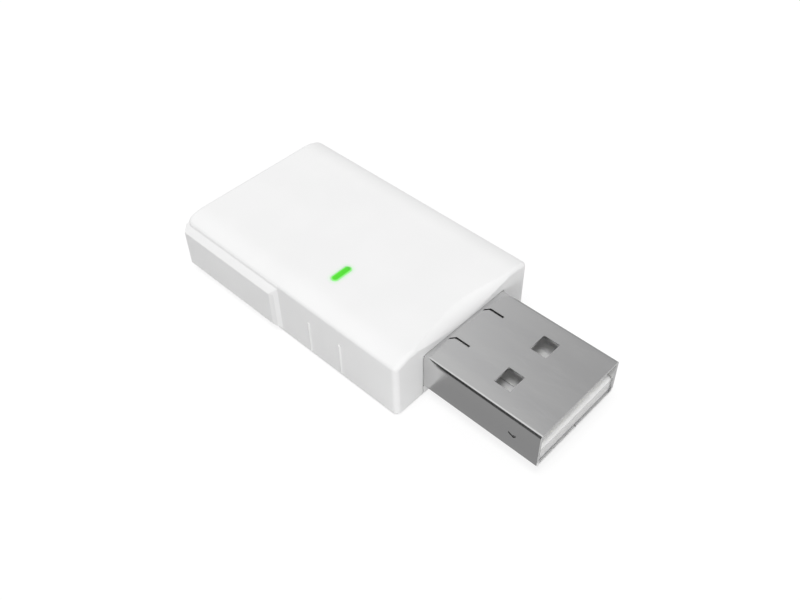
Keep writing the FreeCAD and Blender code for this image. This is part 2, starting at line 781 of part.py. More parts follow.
def make_circuit_board():
    body = new_body("circuit_board")
    shape = new_sketch(body, "board_outline", "XY", "board_low")
    draw(shape, [("board_rear", "-board_side"), ("board_front", "-board_side"),
                 ("board_front", "-notch_side"), ("notch_rear", "-notch_side"),
                 ("notch_rear", "notch_side"), ("board_front", "notch_side"),
                 ("board_front", "board_side"), ("board_rear", "board_side")])
    pad(body, "board", shape, "board_thick")
    round_edges(body, "board_corners", "(board_side - notch_side) * board_corner_share",
                lambda b, e: upright(b) and near(max(abs(b.YMin), abs(b.YMax)), size("board_side")))
    holes = new_sketch(body, "board_holes", "XY", "board_low - overcut")
    circle(holes, "post_rear", "post_side", "peg_width + 2 * peg_gap")
    circle(holes, "post_front", "-post_side", "peg_width + 2 * peg_gap")
    for side in (1, -1):
        inner = f"{side} * (ear_side - plug_sheet - leg_gap)"
        outer = f"{side} * (ear_side + leg_gap)"
        rectangle(holes, *around("ear_x", "leg_length + 2 * leg_gap"), *sorted_pair(inner, outer))
    cut(body, "holes", holes, "board_thick + 2 * overcut", back=True)
    return body


def make_radio_module_board():
    body = new_body("radio_module_board")
    shape = new_sketch(body, "module_outline", "XY", "board_high")
    rectangle(shape, "module_rear", "module_front", "-module_width / 2", "module_width / 2")
    pad(body, "module", shape, "module_thick")
    notches = new_sketch(body, "castellation_sketch", "XY", "board_high - overcut")
    for y in ("module_width / 2", "-module_width / 2"):
        circle(notches, "module_front - castellation_pitch", y, "castellation_width")
    first = cut(body, "castellations", notches, "module_thick + 2 * overcut", back=True)
    repeat(body, "castellation_row", first, "X_Axis", "castellation_pitch", "castellation_count", back=True)
    return body


# Shield: a can folded from thin sheet, with vent holes in its lid

def make_radio_shield():
    body = new_body("radio_shield")
    shape = new_sketch(body, "shield_outline", "XY", "module_high")
    rectangle(shape, "shield_rear", "shield_front", "-shield_width / 2", "shield_width / 2")
    pad(body, "shield_block", shape, "shield_height")
    round_edges(body, "shield_folds", "shield_fold",
                lambda b, e: near(b.ZMin, size("shield_high")) or upright(b))
    block = body.Tip
    floor = [f"Face{i}" for i, face in enumerate(block.Shape.Faces, start=1)
             if near(face.BoundBox.ZMax, size("module_high"))]
    walls = body.newObject("PartDesign::Thickness", "shield_walls")
    walls.Base = (block, floor)
    bind(walls, "Value", "shield_sheet")
    walls.Reversed = True
    doc.recompute()
    hole = new_sketch(body, "vent_sketch", "XY", "shield_high - 2 * shield_sheet")
    first_y = "-shield_hole_pitch * (shield_hole_count - 1) / 2"
    circle(hole, "shield_rear + shield_hole_pitch", first_y, "shield_hole")
    first = cut(body, "vent", hole, "2 * shield_sheet + overcut", back=True)
    repeat(body, "vent_row", first, "Y_Axis", "shield_hole_pitch", "shield_hole_count")
    return body


# Chips and small parts

def make_flat_chip(name, x, y, length, width, low, high):
    """A moulded block with a bevelled top and a pin-one dimple."""
    body = new_body(name)
    shape = new_sketch(body, name + "_outline", "XY", low)
    rectangle(shape, *around(x, length), *around(y, width))
    pad(body, name + "_block", shape, f"{high} - ({low})")
    round_edges(body, name + "_bevel", "chip_bevel", lying_at(high), "PartDesign::Chamfer")
    dimple = new_sketch(body, name + "_dimple_sketch", "XY", f"{high} - dimple_depth")
    circle(dimple, f"{x} - {length} / 2 + dimple_inset", f"{y} - {width} / 2 + dimple_inset", "dimple_width")
    cut(body, name + "_dimple", dimple, "dimple_depth + overcut", back=True)
    return body


def make_leaded_chip(name, x, y, length, width, height, pitch):
    """A moulded block, long in Y, with a row of bent legs on both of its long sides."""
    body = new_body(name)
    block = new_sketch(body, name + "_outline", "XY", "board_high + leg_sheet")
    rectangle(block, *around(x, width), *around(y, length))
    pad(body, name + "_block", block, f"{height} - leg_sheet")
    top = f"board_high + {height}"
    round_edges(body, name + "_bevel", "body_bevel", lying_at(top), "PartDesign::Chamfer")
    first_y = f"{y} - {pitch} * (leg_count - 1) / 2 - leg_width / 2"
    leg = new_sketch(body, name + "_leg_profile", "XZ", first_y)
    mid = f"board_high + {height} / 2"
    for side in (1, -1):
        root = f"{x} + {side} * ({width} / 2 - leg_sheet)"
        knee = f"{x} + {side} * ({width} / 2 + leg_reach / 2)"
        knee_in = f"{x} + {side} * ({width} / 2 + leg_reach / 2 - leg_sheet)"
        toe = f"{x} + {side} * ({width} / 2 + leg_reach)"
        draw(leg, [(root, mid), (root, f"{mid} + leg_sheet"), (knee, f"{mid} + leg_sheet"),
                   (knee, "board_high + leg_sheet"), (toe, "board_high + leg_sheet"), (toe, "board_high"),
                   (knee_in, "board_high"), (knee_in, mid)])
    first = pad(body, name + "_leg_pair", leg, "leg_width", back=True)
    repeat(body, name + "_leg_rows", first, "Y_Axis", pitch, "leg_count")
    return body


def block_at(name, x, y, low, length, width, height):
    box = doc.addObject("Part::Box", name)
    bind(box, "Length", length)
    bind(box, "Width", width)
    bind(box, "Height", height)
    bind(box, "Placement.Base.x", f"{x} - ({length}) / 2")
    bind(box, "Placement.Base.y", f"{y} - ({width}) / 2")
    bind(box, "Placement.Base.z", low)
    return box


def make_end_capped(name, x, y, low, length, width, height, along_y=False):
    """A ceramic block with a slightly larger metal cap over each end."""
    cap = f"({length} * end_cap_share)"
    core_size = [f"{length} - end_cap_lip", f"{width} - 2 * end_cap_lip", f"{height} - 2 * end_cap_lip"]
    if along_y:
        core_size[0], core_size[1] = core_size[1], core_size[0]
    core = block_at(name + "_core", x, y, f"{low} + end_cap_lip", *core_size)
    caps = []
    for side, word in ((-1, "near"), (1, "far")):
        shift = f"{side} * ({length} - {cap}) / 2"
        if along_y:
            caps.append(block_at(f"{name}_{word}_cap", x, f"{y} + {shift}", low, width, cap, height))
        else:
            caps.append(block_at(f"{name}_{word}_cap", f"{x} + {shift}", y, low, cap, width, height))
    whole = doc.addObject("Part::MultiFuse", name)
    whole.Shapes = [core] + caps
    whole.Label = name
    doc.recompute()
    return whole


def make_group(name, members):
    group = doc.addObject("Part::Compound", name)
    group.Links = members
    group.Label = name
    doc.recompute()
    return group


def make_inductor():
    body = new_body("power_inductor")
    shape = new_sketch(body, "inductor_outline", "XY", "board_high")
    rectangle(shape, *around("inductor_x", "inductor_size"), *around("inductor_side", "inductor_size"))
    pad(body, "inductor_block", shape, "inductor_height")
    round_edges(body, "inductor_corners", "inductor_corner", lambda b, e: upright(b), "PartDesign::Chamfer")
    well = new_sketch(body, "inductor_well_sketch", "XY",
                      "board_high + inductor_height - inductor_well_depth")
    circle(well, "inductor_x", "inductor_side", "inductor_well")
    cut(body, "inductor_well", well, "inductor_well_depth + overcut", back=True)
    return body


def make_led():
    body = new_body("status_led")
    base = new_sketch(body, "led_outline", "XY", "board_high")
    rectangle(base, *around("light_x", "led_width"), *around("-light_side", "led_length"))
    pad(body, "led_foot", base, "led_base")
    lens = new_sketch(body, "led_lens_outline", "XY", "board_high")
    rectangle(lens, *around("light_x", "led_width"), *around("-light_side", "led_lens"))
    pad(body, "led_dome", lens, "led_height")
    top = "board_high + led_height"
    round_edges(body, "led_dome_edges", "led_bevel", lying_at(top), "PartDesign::Chamfer")
    return body


parts = [make_upper_housing(), make_lower_cover(), make_light_pipe()]
parts.append(make_plug_shell())
parts.append(make_plug_insulator())
contacts = {
    "vbus_contact": ("-outer_contact_side", "outer_contact_tip"),
    "data_minus_contact": ("-inner_contact_side", "inner_contact_tip"),
    "data_plus_contact": ("inner_contact_side", "inner_contact_tip"),
    "ground_contact": ("outer_contact_side", "outer_contact_tip"),
}
for name, (place, tip) in contacts.items():
    parts.append(make_contact(name, place, tip))
parts.append(make_circuit_board())
parts.append(make_radio_module_board())
parts.append(make_radio_shield())

parts.append(make_flat_chip("radio_chip", "radio_chip_x", "radio_chip_side", "radio_chip_size",
                            "radio_chip_size", "module_high", "module_high + radio_chip_height"))
parts.append(make_flat_chip("flash_chip", "radio_chip_x", "-flash_side", "flash_length", "flash_width",
                            "module_high", "module_high + flash_height"))
parts.append(make_flat_chip("radio_crystal", "crystal_x", "-crystal_side", "crystal_length", "crystal_width",
                            "module_high", "module_high + crystal_height"))
parts.append(make_end_capped("chip_antenna", "antenna_x", "antenna_side", "module_high",
                             "antenna_length", "antenna_width", "antenna_height", along_y=True))
parts.append(make_leaded_chip("voltage_regulator", "regulator_x", "regulator_side", "regulator_length",
                              "regulator_width", "regulator_height", "leg_pitch"))
parts.append(make_leaded_chip("surge_protector", "surge_x", "0", "surge_length", "surge_width",
                              "surge_height", "small_leg_pitch"))
parts.append(make_inductor())
parts.append(make_led())
parts.append(make_end_capped("resettable_fuse", "fuse_x", "-fuse_side", "board_high",
                             "fuse_length", "fuse_width", "fuse_height"))
parts.append(make_end_capped("bulk_capacitor", "bulk_x", "bulk_side", "board_high",
                             "bulk_length", "bulk_width", "bulk_height", along_y=True))
parts.append(make_group("ceramic_capacitors", [
    make_end_capped(f"capacitor_{i}", row, f"{pitches} * chip_pitch", "board_high",
                    "chip_length", "chip_width", "capacitor_height", along_y=True)
    for i, (row, pitches) in enumerate(capacitor_places, start=1)]))
parts.append(make_group("chip_resistors", [
    make_end_capped(f"resistor_{i}", row, f"{pitches} * chip_pitch", "board_high",
                    "chip_length", "chip_width", "resistor_height", along_y=True)
    for i, (row, pitches) in enumerate(resistor_places, start=1)]))
parts.append(make_group("antenna_matching_parts", [
    make_end_capped(f"matching_{i}", "matching_x", f"{i} * matching_pitch - matching_side", "module_high",
                    "chip_length", "chip_width", "capacitor_height", along_y=True)
    for i in range(3)]))


# Checks, then one file for each sub-part

doc.recompute()
for thing in doc.Objects:
    if "Invalid" in thing.State or "Error" in thing.State:
        raise RuntimeError(f"{thing.Label} failed: {thing.getStatusString()}")
os.makedirs("parts", exist_ok=True)
for part in parts:
    shape = part.Shape
    if shape.isNull() or not shape.isValid():
        raise RuntimeError(f"{part.Label} has no valid shape")
for part in parts:
    part.Shape.exportStep(f"parts/{part.Label}.step")
    print(part.Label, len(part.Shape.Solids), round(part.Shape.Volume, 3))
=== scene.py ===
import math

import bmesh
import bpy
from mathutils import Matrix, Vector


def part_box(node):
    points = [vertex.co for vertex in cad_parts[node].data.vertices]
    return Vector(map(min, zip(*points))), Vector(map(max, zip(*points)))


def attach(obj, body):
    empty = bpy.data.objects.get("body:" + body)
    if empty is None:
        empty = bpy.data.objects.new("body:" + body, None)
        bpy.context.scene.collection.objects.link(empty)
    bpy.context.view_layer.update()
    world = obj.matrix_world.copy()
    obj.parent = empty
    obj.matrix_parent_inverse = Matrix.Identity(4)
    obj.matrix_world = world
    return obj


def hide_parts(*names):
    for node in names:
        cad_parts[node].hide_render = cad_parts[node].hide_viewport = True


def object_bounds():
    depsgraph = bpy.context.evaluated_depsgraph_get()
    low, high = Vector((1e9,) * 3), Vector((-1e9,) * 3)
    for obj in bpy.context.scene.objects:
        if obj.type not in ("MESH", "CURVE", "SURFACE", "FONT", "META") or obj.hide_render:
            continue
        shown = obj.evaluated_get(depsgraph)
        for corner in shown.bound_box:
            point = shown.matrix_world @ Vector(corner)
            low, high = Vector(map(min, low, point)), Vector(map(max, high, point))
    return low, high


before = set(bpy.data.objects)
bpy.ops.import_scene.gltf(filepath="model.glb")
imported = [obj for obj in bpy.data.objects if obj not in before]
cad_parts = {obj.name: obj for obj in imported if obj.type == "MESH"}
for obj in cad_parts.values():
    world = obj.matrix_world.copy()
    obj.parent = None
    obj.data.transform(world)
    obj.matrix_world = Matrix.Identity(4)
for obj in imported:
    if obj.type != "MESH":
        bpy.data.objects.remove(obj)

cadLow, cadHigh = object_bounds()
mm = 0.001
print("frame loaded")


# camera, solved from the edges of the plug in the photograph
camSpec = {
    "place": (52.186, -46.543, 69.76),  # mm
    "azimuth": 44.223,  # degrees from looking along +Y
    "elevation": 45.84,
    "roll": -1.121,
    "lens": 40.142,
    "sensor": 36.0,
    "clipStart": 0.001,  # metres
}


def makeCamera(spec):
    turn, lift = math.radians(spec["azimuth"]), math.radians(spec["elevation"])
    back = Vector((math.sin(turn) * math.cos(lift), -math.cos(turn) * math.cos(lift), math.sin(lift)))
    right = Vector((0, 0, 1)).cross(back).normalized()
    up = back.cross(right)
    roll = math.radians(spec["roll"])
    rolledRight = math.cos(roll) * right + math.sin(roll) * up
    rolledUp = -math.sin(roll) * right + math.cos(roll) * up
    lensData = bpy.data.cameras.new("photoCamera")
    lensData.sensor_fit = "HORIZONTAL"
    lensData.sensor_width = spec["sensor"]
    lensData.lens = spec["lens"]
    lensData.clip_start = spec["clipStart"]
    cam = bpy.data.objects.new("photoCamera", lensData)
    bpy.context.scene.collection.objects.link(cam)
    turned = Matrix((rolledRight, rolledUp, back)).transposed().to_4x4()
    cam.matrix_world = Matrix.Translation(Vector(spec["place"]) * mm) @ turned
    bpy.context.scene.camera = cam


makeCamera(camSpec)


# short ways to lay nodes
def addNode(tree, kind, values=None, **settings):
    node = tree.nodes.new(kind)
    for name, value in settings.items():
        setattr(node, name, value)
    for socket, value in (values or {}).items():
        if isinstance(value, bpy.types.NodeSocket):
            tree.links.new(value, node.inputs[socket])
        else:
            node.inputs[socket].default_value = value
    return node


def maths(tree, operation, *values):
    return addNode(tree, "ShaderNodeMath", dict(enumerate(values)), operation=operation).outputs[0]


def mapRange(tree, value, fromMin, fromMax, toMin=0.0, toMax=1.0):
    node = addNode(tree, "ShaderNodeMapRange", {"Value": value, "From Min": fromMin, "From Max": fromMax,
                                                "To Min": toMin, "To Max": toMax}, interpolation_type="SMOOTHSTEP")
    return node.outputs["Result"]


def fade(tree, value, start, end):
    return mapRange(tree, value, start, end, 1.0, 0.0)


def product(tree, first, *others):
    for mask in others:
        first = maths(tree, "MULTIPLY", first, mask)
    return first


def within(tree, value, low, high, soft=0.02):
    return product(tree, mapRange(tree, value, low - soft, low), fade(tree, value, high, high + soft))


def mixColors(tree, mask, first, second):
    # sockets 6 and 7 and output 2 are the ones for colours
    node = addNode(tree, "ShaderNodeMix", data_type="RGBA")
    for socket, value in ((node.inputs["Factor"], mask), (node.inputs[6], first), (node.inputs[7], second)):
        if isinstance(value, bpy.types.NodeSocket):
            tree.links.new(value, socket)
        else:
            socket.default_value = (*value, 1) if isinstance(value, tuple) else value
    return node.outputs[2]


def objectPlace(tree):
    # object coordinates in millimetres
    place = addNode(tree, "ShaderNodeTexCoord")
    return addNode(tree, "ShaderNodeVectorMath", {0: place.outputs["Object"], 1: (1 / mm,) * 3},
                   operation="MULTIPLY").outputs[0]


def axes(tree, vector):
    return addNode(tree, "ShaderNodeSeparateXYZ", {0: vector}).outputs


def placeAxes(tree):
    return axes(tree, objectPlace(tree))


def normalAxes(tree):
    return axes(tree, addNode(tree, "ShaderNodeNewGeometry").outputs["Normal"])


def distance(tree, value, middle):
    return maths(tree, "ABSOLUTE", maths(tree, "SUBTRACT", value, middle))


def newMaterial(name):
    mat = bpy.data.materials.new(name)
    mat.use_nodes = True
    return mat, mat.node_tree, mat.node_tree.nodes["Principled BSDF"]


def newGroup(name, inputs, outputs):
    group = bpy.data.node_groups.new(name, "ShaderNodeTree")
    for label, start in inputs:
        group.interface.new_socket(name=label, in_out="INPUT", socket_type="NodeSocketFloat").default_value = start
    for label, kind in outputs:
        group.interface.new_socket(name=label, in_out="OUTPUT", socket_type="NodeSocket" + kind)
    return group, addNode(group, "NodeGroupInput").outputs, addNode(group, "NodeGroupOutput").inputs


# grain of a moulded or rolled surface: a fine height, a slow tint mask and a roughness that wanders
patchLevels = (0.3, 0.7)  # of the slow noise, where the second tint begins and where it is full


def makeGrainGroup():
    group, given, out = newGroup(
        "surfaceGrain",
        [("Grain Size", 0.3), ("Patch Size", 6.0), ("Stretch", 1.0), ("Roughness", 0.4), ("Roughness Spread", 0.05)],
        [("Height", "Float"), ("Patch", "Float"), ("Roughness", "Float")])
    place = placeAxes(group)
    along = maths(group, "DIVIDE", place[0], given["Stretch"])
    pulled = addNode(group, "ShaderNodeCombineXYZ", {0: along, 1: place[1], 2: place[2]}).outputs[0]
    fine = addNode(group, "ShaderNodeTexNoise", {"Vector": pulled, "Detail": 3.0,
                                                 "Scale": maths(group, "DIVIDE", 1.0, given["Grain Size"])})
    slow = addNode(group, "ShaderNodeTexNoise", {"Vector": pulled, "Detail": 2.0,
                                                 "Scale": maths(group, "DIVIDE", 1.0, given["Patch Size"])})
    both = maths(group, "ADD", fine.outputs[0], slow.outputs[0])
    spread = maths(group, "MULTIPLY_ADD", maths(group, "SUBTRACT", both, 1.0), given["Roughness Spread"],
                   given["Roughness"])
    group.links.new(fine.outputs[0], out["Height"])
    group.links.new(mapRange(group, slow.outputs[0], *patchLevels), out["Patch"])
    group.links.new(spread, out["Roughness"])
    return group


# thin rub marks that cross at a low angle, as on plated sheet that has been handled
rubTurns = (0.12, -0.32)  # radians, each layer's angle to X
rubLevels = (0.68, 0.8)  # of the noise, where a mark begins and where it is full


def makeRubGroup():
    group, given, out = newGroup("rubMarks", [("Mark Length", 4.0), ("Mark Width", 0.05), ("Amount", 0.5)],
                                 [("Mask", "Float")])
    place = objectPlace(group)
    layers = []
    for turn in rubTurns:
        turned = addNode(group, "ShaderNodeVectorRotate", {"Vector": place, "Angle": turn}, rotation_type="Z_AXIS")
        part = axes(group, turned.outputs[0])
        thin = addNode(group, "ShaderNodeCombineXYZ", {
            0: maths(group, "DIVIDE", part[0], given["Mark Length"]),
            1: maths(group, "DIVIDE", part[1], given["Mark Width"]),
            2: maths(group, "DIVIDE", part[2], given["Mark Width"])}).outputs[0]
        noise = addNode(group, "ShaderNodeTexNoise", {"Vector": thin, "Scale": 1.0, "Detail": 0.0})
        layers.append(mapRange(group, noise.outputs[0], *rubLevels))
    mask = maths(group, "MULTIPLY", maths(group, "MAXIMUM", *layers), given["Amount"])
    group.links.new(mask, out["Mask"])
    return group


# edges: a mask where the surface turns, and a normal that softens them
def makeEdgeGroup():
    group, given, out = newGroup("softEdges", [("Radius", 0.05), ("Gain", 4.0)],
                                 [("Mask", "Float"), ("Normal", "Vector")])
    bevel = addNode(group, "ShaderNodeBevel", {"Radius": maths(group, "MULTIPLY", given["Radius"], mm)}, samples=6)
    plain = addNode(group, "ShaderNodeNewGeometry")
    turn = addNode(group, "ShaderNodeVectorMath", {0: bevel.outputs[0], 1: plain.outputs["Normal"]},
                   operation="DOT_PRODUCT")
    mask = maths(group, "MULTIPLY", maths(group, "SUBTRACT", 1.0, turn.outputs["Value"]), given["Gain"])
    group.links.new(maths(group, "MINIMUM", mask, 1.0), out["Mask"])
    group.links.new(bevel.outputs[0], out["Normal"])
    return group


grainGroup = makeGrainGroup()
rubGroup = makeRubGroup()
edgeGroup = makeEdgeGroup()
edgeGain = 3.0
finishIor = 1.46  # of the plastics


def placeGroup(tree, group, values):
    node = addNode(tree, "ShaderNodeGroup")
    node.node_tree = group
    for socket, value in values.items():
        node.inputs[socket].default_value = value
    return node.outputs


# every finish starts here: two tints, grain, soft edges, and rub marks where the look has them
def makeFinish(name, look):
    mat, tree, shader = newMaterial(name)
    grain = placeGroup(tree, grainGroup, {
        "Grain Size": look["grain"], "Patch Size": look["patch"], "Stretch": look.get("stretch", 1.0),
        "Roughness": look["roughness"], "Roughness Spread": look["spread"]})
    color = mixColors(tree, grain["Patch"], look["dark"], look["light"])
    bumpValues = {"Height": grain["Height"], "Strength": look["bump"], "Distance": look["depth"] * mm}
    if "edge" in look:
        edge = placeGroup(tree, edgeGroup, {"Radius": look["edge"], "Gain": edgeGain})
        bumpValues["Normal"] = edge["Normal"]
        if "edgeTint" in look:
            color = mixColors(tree, edge["Mask"], color, look["edgeTint"])
    rough = grain["Roughness"]
    if "rubs" in look:
        rubs = placeGroup(tree, rubGroup, look["rubs"])
        color = mixColors(tree, rubs["Mask"], color, look["rubTint"])
        rough = maths(tree, "ADD", rough, maths(tree, "MULTIPLY", rubs["Mask"], look["rubRoughness"]))
    bump = addNode(tree, "ShaderNodeBump", bumpValues)
    tree.links.new(color, shader.inputs["Base Color"])
    tree.links.new(rough, shader.inputs["Roughness"])
    tree.links.new(bump.outputs[0], shader.inputs["Normal"])
    shader.inputs["Metallic"].default_value = look.get("metallic", 0.0)
    shader.inputs["IOR"].default_value = finishIor
    return mat, tree, shader


# goes from one value to another as the mask goes from 0 to 1
def blend(tree, mask, first, second):
    change = maths(tree, "MULTIPLY", mask, maths(tree, "SUBTRACT", second, first))
    return maths(tree, "ADD", first, change)


def socketSource(shader, name):
    return shader.inputs[name].links[0].from_socket


# lays a second tint, roughness and metal over a finish where a mask is 1
def overlay(tree, shader, mask, color, roughness=None, metallic=None):
    tree.links.new(mixColors(tree, mask, socketSource(shader, "Base Color"), color), shader.inputs["Base Color"])
    for name, value in (("Roughness", roughness), ("Metallic", metallic)):
        if value is not None:
            socket = shader.inputs[name]
            old = socket.links[0].from_socket if socket.links else socket.default_value
            tree.links.new(blend(tree, mask, old, value), socket)


def dress(node, mat):
    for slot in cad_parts[node].material_slots:
        slot.material = mat


def middleOf(node):
    low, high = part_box(node)
    return (Vector(low) + Vector(high)) / 2 / mm, (Vector(high) - Vector(low)) / mm


# white housing and cover
shellLook = {"dark": (0.868, 0.868, 0.868), "light": (0.885, 0.885, 0.885), "grain": 0.11, "patch": 7.0,
             "roughness": 0.42, "spread": 0.06, "bump": 0.12, "depth": 0.006, "edge": 0.12}
coverLook = {"dark": (0.85, 0.85, 0.85), "light": (0.87, 0.87, 0.87), "grain": 0.16, "patch": 5.0, "roughness": 0.52,
             "spread": 0.07, "bump": 0.25, "depth": 0.008}
bleed = {"start": 0.42, "end": 1.0, "tint": (0.7, 0.885, 0.69), "share": 0.7}  # green light in the plastic, mm
lightMiddle, lightSpan = middleOf("light_pipe")
lens = {"flange": 0.5, "radius": 0.45}  # mm, from the light's widest part in to its lens, and the lens's round end
lensHalf = lightSpan.y / 2 - lens["flange"] - lens["radius"]  # half of the lens's straight part
shellMat, shellTree, shellShader = makeFinish("whiteShell", shellLook)


def length(tree, first, second):
    squares = [maths(tree, "POWER", value, 2.0) for value in (first, second)]
    return maths(tree, "SQRT", maths(tree, "ADD", *squares))


def lensDistance(tree):
    # distance in plan from the middle line of the light's lens, in millimetres
    place = placeAxes(tree)
    across = maths(tree, "SUBTRACT", place[0], lightMiddle.x)
    along = distance(tree, place[1], lightMiddle.y)
    beyond = maths(tree, "MAXIMUM", maths(tree, "SUBTRACT", along, lensHalf), 0.0)
    return length(tree, across, beyond)


glowMask = mapRange(shellTree, lensDistance(shellTree), bleed["start"], bleed["end"], bleed["share"], 0.0)
overlay(shellTree, shellShader, glowMask, bleed["tint"])

# painted highlight on the pad's bevels: its upper rim, above "low", and its nose, past "nose", get a paler tint than
# the shell
padHighlight = {"front": -0.75, "frontSoft": 0.1, "face": -9.66, "faceSoft": 0.05, "low": 5.42, "nose": -1.35,
          "soft": 0.08, "tint": (0.945, 0.945, 0.945)}  # mm
shellPlace = placeAxes(shellTree)
padSide = product(shellTree, fade(shellTree, shellPlace[0], padHighlight["front"] - padHighlight["frontSoft"], padHighlight["front"]),
                  fade(shellTree, shellPlace[1], padHighlight["face"] - padHighlight["faceSoft"], padHighlight["face"]))
onTop = mapRange(shellTree, shellPlace[2], padHighlight["low"], padHighlight["low"] + padHighlight["soft"])
onNose = mapRange(shellTree, shellPlace[0], padHighlight["nose"], padHighlight["nose"] + padHighlight["soft"])
padHighlightMask = product(shellTree, padSide, maths(shellTree, "MAXIMUM", onTop, onNose))
# painted highlight: the pad's rim and nose are tinted paler
overlay(shellTree, shellShader, padHighlightMask, padHighlight["tint"])
dress("upper_housing", shellMat)
coverMat = makeFinish("whiteCover", coverLook)[0]
dress("lower_cover", coverMat)


# green light guide: deep green in the middle of the lens, paler at its rim
lightLook = {"dark": (0.02, 0.16, 0.01), "light": (0.03, 0.2, 0.01), "grain": 0.2, "patch": 1.0, "roughness": 0.25,
             "spread": 0.05, "bump": 0.05, "depth": 0.004}
lightGlow = {"core": (0.06, 0.59, 0.01), "rim": (0.4, 0.88, 0.36), "from": 0.22, "to": 0.47, "strength": 0.93,
             "farEnd": (0.08, 0.36, 0.06), "farFrom": 0.75, "farTo": 1.3}  # mm from the middle of the lens
lightMat, lightTree, lightShader = makeFinish("greenLight", lightLook)
rimMask = mapRange(lightTree, lensDistance(lightTree), lightGlow["from"], lightGlow["to"])
lightAlong = maths(lightTree, "SUBTRACT", placeAxes(lightTree)[1], lightMiddle.y)
farMask = mapRange(lightTree, lightAlong, lightGlow["farFrom"], lightGlow["farTo"])
coreTint = mixColors(lightTree, farMask, lightGlow["core"], lightGlow["farEnd"])
lightTree.links.new(mixColors(lightTree, rimMask, coreTint, lightGlow["rim"]), lightShader.inputs["Emission Color"])
lightShader.inputs["Emission Strength"].default_value = lightGlow["strength"]
dress("light_pipe", lightMat)


# plated sheet of the plug
steelLook = {"dark": (0.66, 0.66, 0.665), "light": (0.7, 0.7, 0.7), "grain": 0.09, "patch": 3.5, "stretch": 16.0,
             "roughness": 0.2, "spread": 0.07, "bump": 0.1, "depth": 0.003, "metallic": 1.0, "edge": 0.04,
             "edgeTint": (0.78, 0.78, 0.78), "rubs": {"Mark Length": 3.0, "Mark Width": 0.045, "Amount": 0.35},
             "rubTint": (0.76, 0.76, 0.76), "rubRoughness": 0.12}
slits = {"from": 14.0, "to": 18.3, "side": 4.0, "low": 5.6}  # mm along X, out to the side and up from there
nick = {"at": 26.42, "half": 0.43, "turn": 0.19, "top": 3.74, "low": 3.46, "thick": 0.1, "soft": 0.04,
        "inside": -5.6}  # mm, pressed rim of the nick in the near side
# painted shade: the walls of the slits and of the nick are painted near black
cutWallShade = {"soft": 0.02, "upright": 0.5, "tint": (0.03, 0.03, 0.03), "roughness": 0.6, "metallic": 0.2}
# sheared edge round the mouth: matte grey steel, with painted light making the lower sheet's edge paler
tipEdge = {"from": 29.3, "soft": 0.02, "facing": (0.6, 0.8), "tint": (0.5, 0.5, 0.5), "lowPaintedLight": (0.85, 0.85, 0.85),
           "lowRange": (1.8, 2.2), "roughness": 0.45, "metallic": 0.15}  # mm, sheared edge round the mouth
steelMat, steelTree, steelShader = makeFinish("plugSteel", steelLook)
steelPlace = placeAxes(steelTree)
steelNormal = normalAxes(steelTree)
slitWallShade = product(
    steelTree, within(steelTree, steelPlace[0], slits["from"], slits["to"]),
    mapRange(steelTree, steelPlace[2], slits["low"] - cutWallShade["soft"], slits["low"]),
    fade(steelTree, maths(steelTree, "ABSOLUTE", steelPlace[1]), slits["side"], slits["side"] + cutWallShade["soft"]),
    within(steelTree, steelNormal[2], -cutWallShade["upright"], cutWallShade["upright"]))
nickAlong = maths(steelTree, "SUBTRACT", steelPlace[0], nick["at"])
fromTurn = maths(steelTree, "SUBTRACT", nickAlong, nick["turn"])
nickRise = nick["top"] - nick["low"]
falling = maths(steelTree, "MULTIPLY", fromTurn, -nickRise / (nick["half"] + nick["turn"]))
climbing = maths(steelTree, "MULTIPLY", fromTurn, nickRise / (nick["half"] - nick["turn"]))
nickOff = maths(steelTree, "SUBTRACT", maths(steelTree, "SUBTRACT", steelPlace[2], nick["low"]),
                maths(steelTree, "MAXIMUM", falling, climbing))
nickWallShade = product(
    steelTree, within(steelTree, nickAlong, -nick["half"], nick["half"]),
    within(steelTree, nickOff, -nick["thick"], nick["thick"], nick["soft"]),
    fade(steelTree, steelPlace[1], nick["inside"], nick["inside"] + cutWallShade["soft"]))
# painted shade in the slits and the nick
overlay(steelTree, steelShader, maths(steelTree, "MAXIMUM", slitWallShade, nickWallShade), cutWallShade["tint"],
        cutWallShade["roughness"], cutWallShade["metallic"])
sheared = product(steelTree, mapRange(steelTree, steelNormal[0], *tipEdge["facing"]),
                  mapRange(steelTree, steelPlace[0], tipEdge["from"], tipEdge["from"] + tipEdge["soft"]))
# painted light: below lowRange the edge takes the paler tint
shearTintAndPaintedLight = mixColors(steelTree, mapRange(steelTree, steelPlace[2], *tipEdge["lowRange"]), tipEdge["lowPaintedLight"],
                      tipEdge["tint"])
overlay(steelTree, steelShader, sheared, shearTintAndPaintedLight, tipEdge["roughness"], tipEdge["metallic"])
dress("usb_plug_shell", steelMat)

# white insulator, with the faint flow marks of moulding
insulatorLook = {"dark": (0.8, 0.8, 0.795), "light": (0.86, 0.86, 0.855), "grain": 0.14, "patch": 2.2, "stretch": 2.5,
                 "roughness": 0.48, "spread": 0.08, "bump": 0.2, "depth": 0.006, "edge": 0.04}
insulatorBody = {"weight": 0.6, "radius": (1.0, 1.0, 0.95), "scale": 0.9}  # mm, light that enters the plastic
# painted shade: the insulator is tinted darker where it faces out of the mouth
insulatorFrontShade = {"facing": (0.5, 0.8), "tint": (0.66, 0.66, 0.655)}  # where it faces out of the mouth
